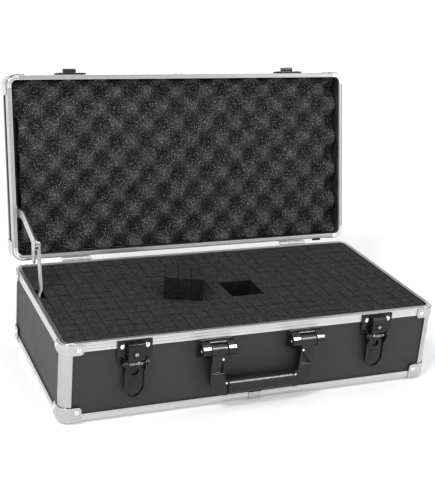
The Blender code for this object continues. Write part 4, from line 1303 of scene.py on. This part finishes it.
def lever_solid(x, axis, lock_z, plate_front):
    """Pressed lever: a web between two flanges, pointed at its foot, with a window for the lock."""
    web_back = plate_front - 0.8
    web_front = web_back - 1.4
    flange_front = axis[0] - 3.0
    tip = axis[1] - 42.0
    half = 11.5
    wall = 1.3
    window_z = 2 * axis[1] - lock_z
    low_corner = tip + 10.5
    outline = rounded_outline([(x - half, 66.0), (x - half, low_corner), (x - 6.0, tip + 2.6),
                               (x, tip), (x + 6.0, tip + 2.6), (x + half, low_corner),
                               (x + half, 66.0)], 2.6)
    web = prism(outline, "Y", web_front, web_back)
    lip_front = web_front - 1.9
    side = [(web_back, 66.0), (web_back, low_corner), (lip_front, low_corner), (lip_front, 57.0),
            (flange_front, 63.0)] + arc(axis, 3.4, 205, -25, 16)
    flanges = [prism(side, "X", x - half, x - half + wall),
               prism(side, "X", x + half - wall, x + half)]
    rim = [(x - half, low_corner + 1.0), (x - half, low_corner), (x - 6.0, tip + 2.6), (x, tip),
           (x + 6.0, tip + 2.6), (x + half, low_corner), (x + half, low_corner + 1.0)]
    inner = [(x + half - wall, low_corner + 1.0), (x + half - wall, low_corner + 0.4),
             (x + 5.4, tip + 3.9), (x, tip + 1.5), (x - 5.4, tip + 3.9),
             (x - half + wall, low_corner + 0.4), (x - half + wall, low_corner + 1.0)]
    hook = prism(rim + inner, "Y", lip_front, web_front + 0.5)
    lever = join(web, *flanges, hook)
    lever = cut(lever, cylinder("X", axis, 1.6, x - 15, x + 15),
                cylinder("Y", (x, window_z), 4.6, web_front - 1, web_back + 1))
    lever = bevel(lever, 0.45, 3, 50)
    collar = lathe([(4.6, -0.4), (6.0, -0.4), (6.0, 0.2), (5.6, 0.35), (4.9, 0.35), (4.6, 0.2)],
                   (x, web_front, window_z), (0, -1, 0), 28, ring=True)
    bead = rounded_plate((x - 5.0, x + 5.0), (tip + 11, window_z - 8.5), 3.0, "Y",
                         web_front - 0.55, web_front + 0.3, 0.3, 3)
    return gather(lever, collar, bead)


# ---------------------------------------------------------------- handle

HANDLE_DROP = 55.0
BAIL_FRONT = -122.5
BAIL_BACK = -114.5
BAIL_BEAD_Y = -121.9


def build_handle():
    axis = joint_place("handle_swing")
    panel_face = -(HALF_DEPTH - 1.2)
    front = panel_face - 2.5
    brackets = {"left": centre_x("handle_bracket_left"), "right": centre_x("handle_bracket_right")}
    for name, x in brackets.items():
        plate = rounded_plate((x - 21.25, x + 21.25), (60.5, 84.0), 3.0, "Y", front, panel_face,
                              0.5, 3)
        side = rounded_outline([(front + 0.8, 64.0), (-118.0, 66.6), (-122.5, 68.8), (-125.0, 72.0),
                                (-125.0, 76.0), (-120.5, 81.4), (front + 0.8, 82.6)], 4.2, 7)
        ears = [bevel(prism(side, "X", x + low, x + high), 0.6, 3, 60)
                for low, high in ((-19.8, -9.8), (9.8, 19.8))]
        bridge = rounded_plate((front - 5.0, front + 0.5), (79.8, 82.6), 1.3, "X",
                               x - 9.7, x + 9.7, 0.3)
        add_piece(f"handle_hinge_{name}", gather(plate, *ears, bridge), BLACK_ENAMEL, "base",
                  [f"handle_bracket_{name}"], smooth_deg=35)
        heads = end_rivets(x, 19.8, axis, 1.7, 0.6)
        add_piece(f"handle_hinge_{name}_rivets", gather(*heads), RIVET_STEEL, "base")

    low = axis[1] - HANDLE_DROP
    span = brackets["right"]
    solids = []
    for side in (-1, 1):
        x = side * span
        outline = [(side * 62.2, axis[1]), (side * 61.5, 64.0), (side * 61.5, low + 20.0)]
        outline += [(side * u, v) for u, v in arc((41.5, low + 20.0), 20.0, -8, -82, 12)]
        outline += [(side * 41.5, low), (side * 40.3, low), (side * 40.3, low + 17.5),
                    (side * 42.5, low + 18.3), (side * 44.5, low + 20.5), (side * 46.0, 62.0),
                    (side * 45.4, axis[1])]
        arm = prism(outline, "Y", BAIL_FRONT, BAIL_BACK)
        recess = prism([(side * 48.0, 61.0), (side * 47.5, 46.5), (side * 59.5, 46.5)], "Y", -124,
                       -119.6)
        arm = bevel(cut(arm, recess), 0.7, 3, 40)
        solids.append(arm)
        solids.append(bevel(cylinder("X", axis, 6.0, x - 9.4, x + 9.4, 36), 0.5, 3, 60))
        solids.append(cylinder("X", axis, 1.9, x - 15.5, x + 15.5))
        bead = [(61.3, 58.0), (61.3, low + 20.0)]
        bead += arc((41.5, low + 20.0), 19.8, -6, -90, 14)
        bead.append((40.6, low + 0.2))
        solids.append(tube([(side * u, BAIL_BEAD_Y, v) for u, v in bead], 0.75, 10))
    solids.append(cylinder("X", (axis[0], low + 8.5), 4.0, -42.0, 42.0))
    add_piece("handle_arms", gather(*solids), HANDLE_PLASTIC, "handle",
              ["handle_bail"], smooth_deg=35)
    heads = [rivet((side * u, BAIL_FRONT, v), (0, -1, 0), 1.4, 0.6)
             for side in (-1, 1) for u, v in ((42.0, low + 14.8), (48.6, 63.5))]
    add_piece("handle_rivets", gather(*heads), RIVET_STEEL, "handle")

    section = rounded_rectangle((-124.5, -112.5), (low + 0.2, low + 16.8), 5.0, 8)
    sections = []
    for x, shrink in ((-40.0, 0.9), (-39.6, 0.35), (-38.8, 0.0), (38.8, 0.0), (39.6, 0.35),
                      (40.0, 0.9)):
        scale = 1 - shrink / 7.0
        sections.append([(x, axis[0] + (y - axis[0]) * scale, low + 8.5 + (z - low - 8.5) * scale)
                         for y, z in section])
    add_piece("handle_grip_sleeve", loft(sections, closed=False), GRIP_PLASTIC, "handle",
              ["handle_grip"], smooth_deg=50)


# ---------------------------------------------------------------- stage

FLOOR_REACH = 6.0
FLOOR_DROP = -0.0004
# Distances between which the floor's own light rises, and how strong it is at each.
FLOOR_GLOW = (0.4, 1.3, 0.20, 0.58)
# The sky's level, by the sine of the height above the horizon.
SKY = [(0.0, 1.0), (0.2, 1.0), (0.5, 0.5), (1.0, 0.35)]
LIGHT_AIM = Vector((0, 0, 0.1))
# Place in metres, size in metres and power in watts; the last one lights the black parts alone.
SOFTBOXES = {
    "key": ((-1.3, -0.9, 1.9), 0.6, 26.0),
    "overhead": ((0.35, 0.25, 2.2), 1.4, 13.0),
    "fill": ((1.5, -1.6, 1.2), 0.8, 5.0),
    "hardware": ((0.95, -1.35, 1.9), 0.6, 120.0),
}


def build_floor():
    mesh = bpy.data.meshes.new("floor")
    corners = [(-FLOOR_REACH, -FLOOR_REACH, 0), (FLOOR_REACH, -FLOOR_REACH, 0),
               (FLOOR_REACH, FLOOR_REACH, 0), (-FLOOR_REACH, FLOOR_REACH, 0)]
    mesh.from_pydata(corners, [], [(0, 1, 2, 3)])
    material = new_material("pale_floor", (0.94, 0.94, 0.94), 0.9)
    place = object_coordinates(material)
    drive(material, "Base Color", noise_texture(material, place, 3.0), [(0.2, 0.93), (0.8, 0.94)])
    distance = add_node(material, "ShaderNodeVectorMath", operation="LENGTH")
    feed(material, place, distance.inputs[0])
    glow = map_range(material, distance.outputs["Value"], *FLOOR_GLOW)
    shader = principled(material)
    shader.inputs["Emission Color"].default_value = (1.0, 1.0, 1.0, 1.0)
    feed(material, glow, shader.inputs["Emission Strength"])
    mesh.materials.append(material)
    floor = bpy.data.objects.new("floor", mesh)
    bpy.context.scene.collection.objects.link(floor)
    floor.location.z = FLOOR_DROP


def build_lights():
    world = bpy.data.worlds.new("studio")
    bpy.context.scene.world = world
    world.use_nodes = True
    background = world.node_tree.nodes["Background"]
    direction = add_node(world, "ShaderNodeTexCoord").outputs["Generated"]
    feed(world, ramp(world, component(world, direction, "Z"), SKY), background.inputs["Color"])
    background.inputs["Strength"].default_value = 1.0
    for name, (place, size, power) in SOFTBOXES.items():
        light = bpy.data.lights.new(name, "AREA")
        light.size = size
        light.energy = power
        lamp = bpy.data.objects.new(name, light)
        bpy.context.scene.collection.objects.link(lamp)
        lamp.location = place
        if name == "hardware":
            lamp.light_linking.receiver_collection = GLOSSY
        lamp.rotation_euler = (LIGHT_AIM - Vector(place)).to_track_quat("-Z", "Y").to_euler()


CAMERA_YAW = radians(23.39)
CAMERA_PITCH = radians(20.79)
CAMERA_ROLL = radians(4.57)
# Distances below are in case widths, so the view keeps its framing if the case is resized.
CAMERA_DISTANCE = 2.6606
CAMERA_TARGET = (-0.0752, 0.3326)
CAMERA_SHIFT = (0.035, -0.0077)
FOCAL_PX = 1036.1
IMAGE_HEIGHT = 495


def build_camera():
    """A camera that stands to the left of the front and a little above the lid."""
    yaw, pitch, roll = CAMERA_YAW, CAMERA_PITCH, CAMERA_ROLL
    distance = CAMERA_DISTANCE * 2 * HALF_WIDTH * MM
    target = Vector((CAMERA_TARGET[0] * 2 * HALF_WIDTH * MM, CENTRE_Y,
                     CAMERA_TARGET[1] * 2 * HALF_WIDTH * MM))
    forward = Vector((sin(yaw) * cos(pitch), cos(yaw) * cos(pitch), -sin(pitch)))
    level = Vector((cos(yaw), -sin(yaw), 0))
    upward = level.cross(forward)
    right = level * cos(roll) + upward * sin(roll)
    up = upward * cos(roll) - level * sin(roll)
    data = bpy.data.cameras.new("camera")
    data.sensor_fit = "AUTO"
    data.sensor_width = 36.0
    data.lens = FOCAL_PX * data.sensor_width / IMAGE_HEIGHT
    data.shift_x, data.shift_y = CAMERA_SHIFT
    data.clip_start = 0.05
    camera = bpy.data.objects.new("camera", data)
    bpy.context.scene.collection.objects.link(camera)
    camera.matrix_world = Matrix.LocRotScale(target - forward * distance,
                                             Matrix((right, up, -forward)).transposed(), None)
    bpy.context.scene.camera = camera


build_rails()
build_panels()
build_corners()
build_joiners()
build_foam()
build_lid_foam()
build_hinges()
build_stay()
build_latches()
build_handle()
build_floor()
build_lights()
build_camera()
bpy.context.scene.view_settings.view_transform = "Standard"
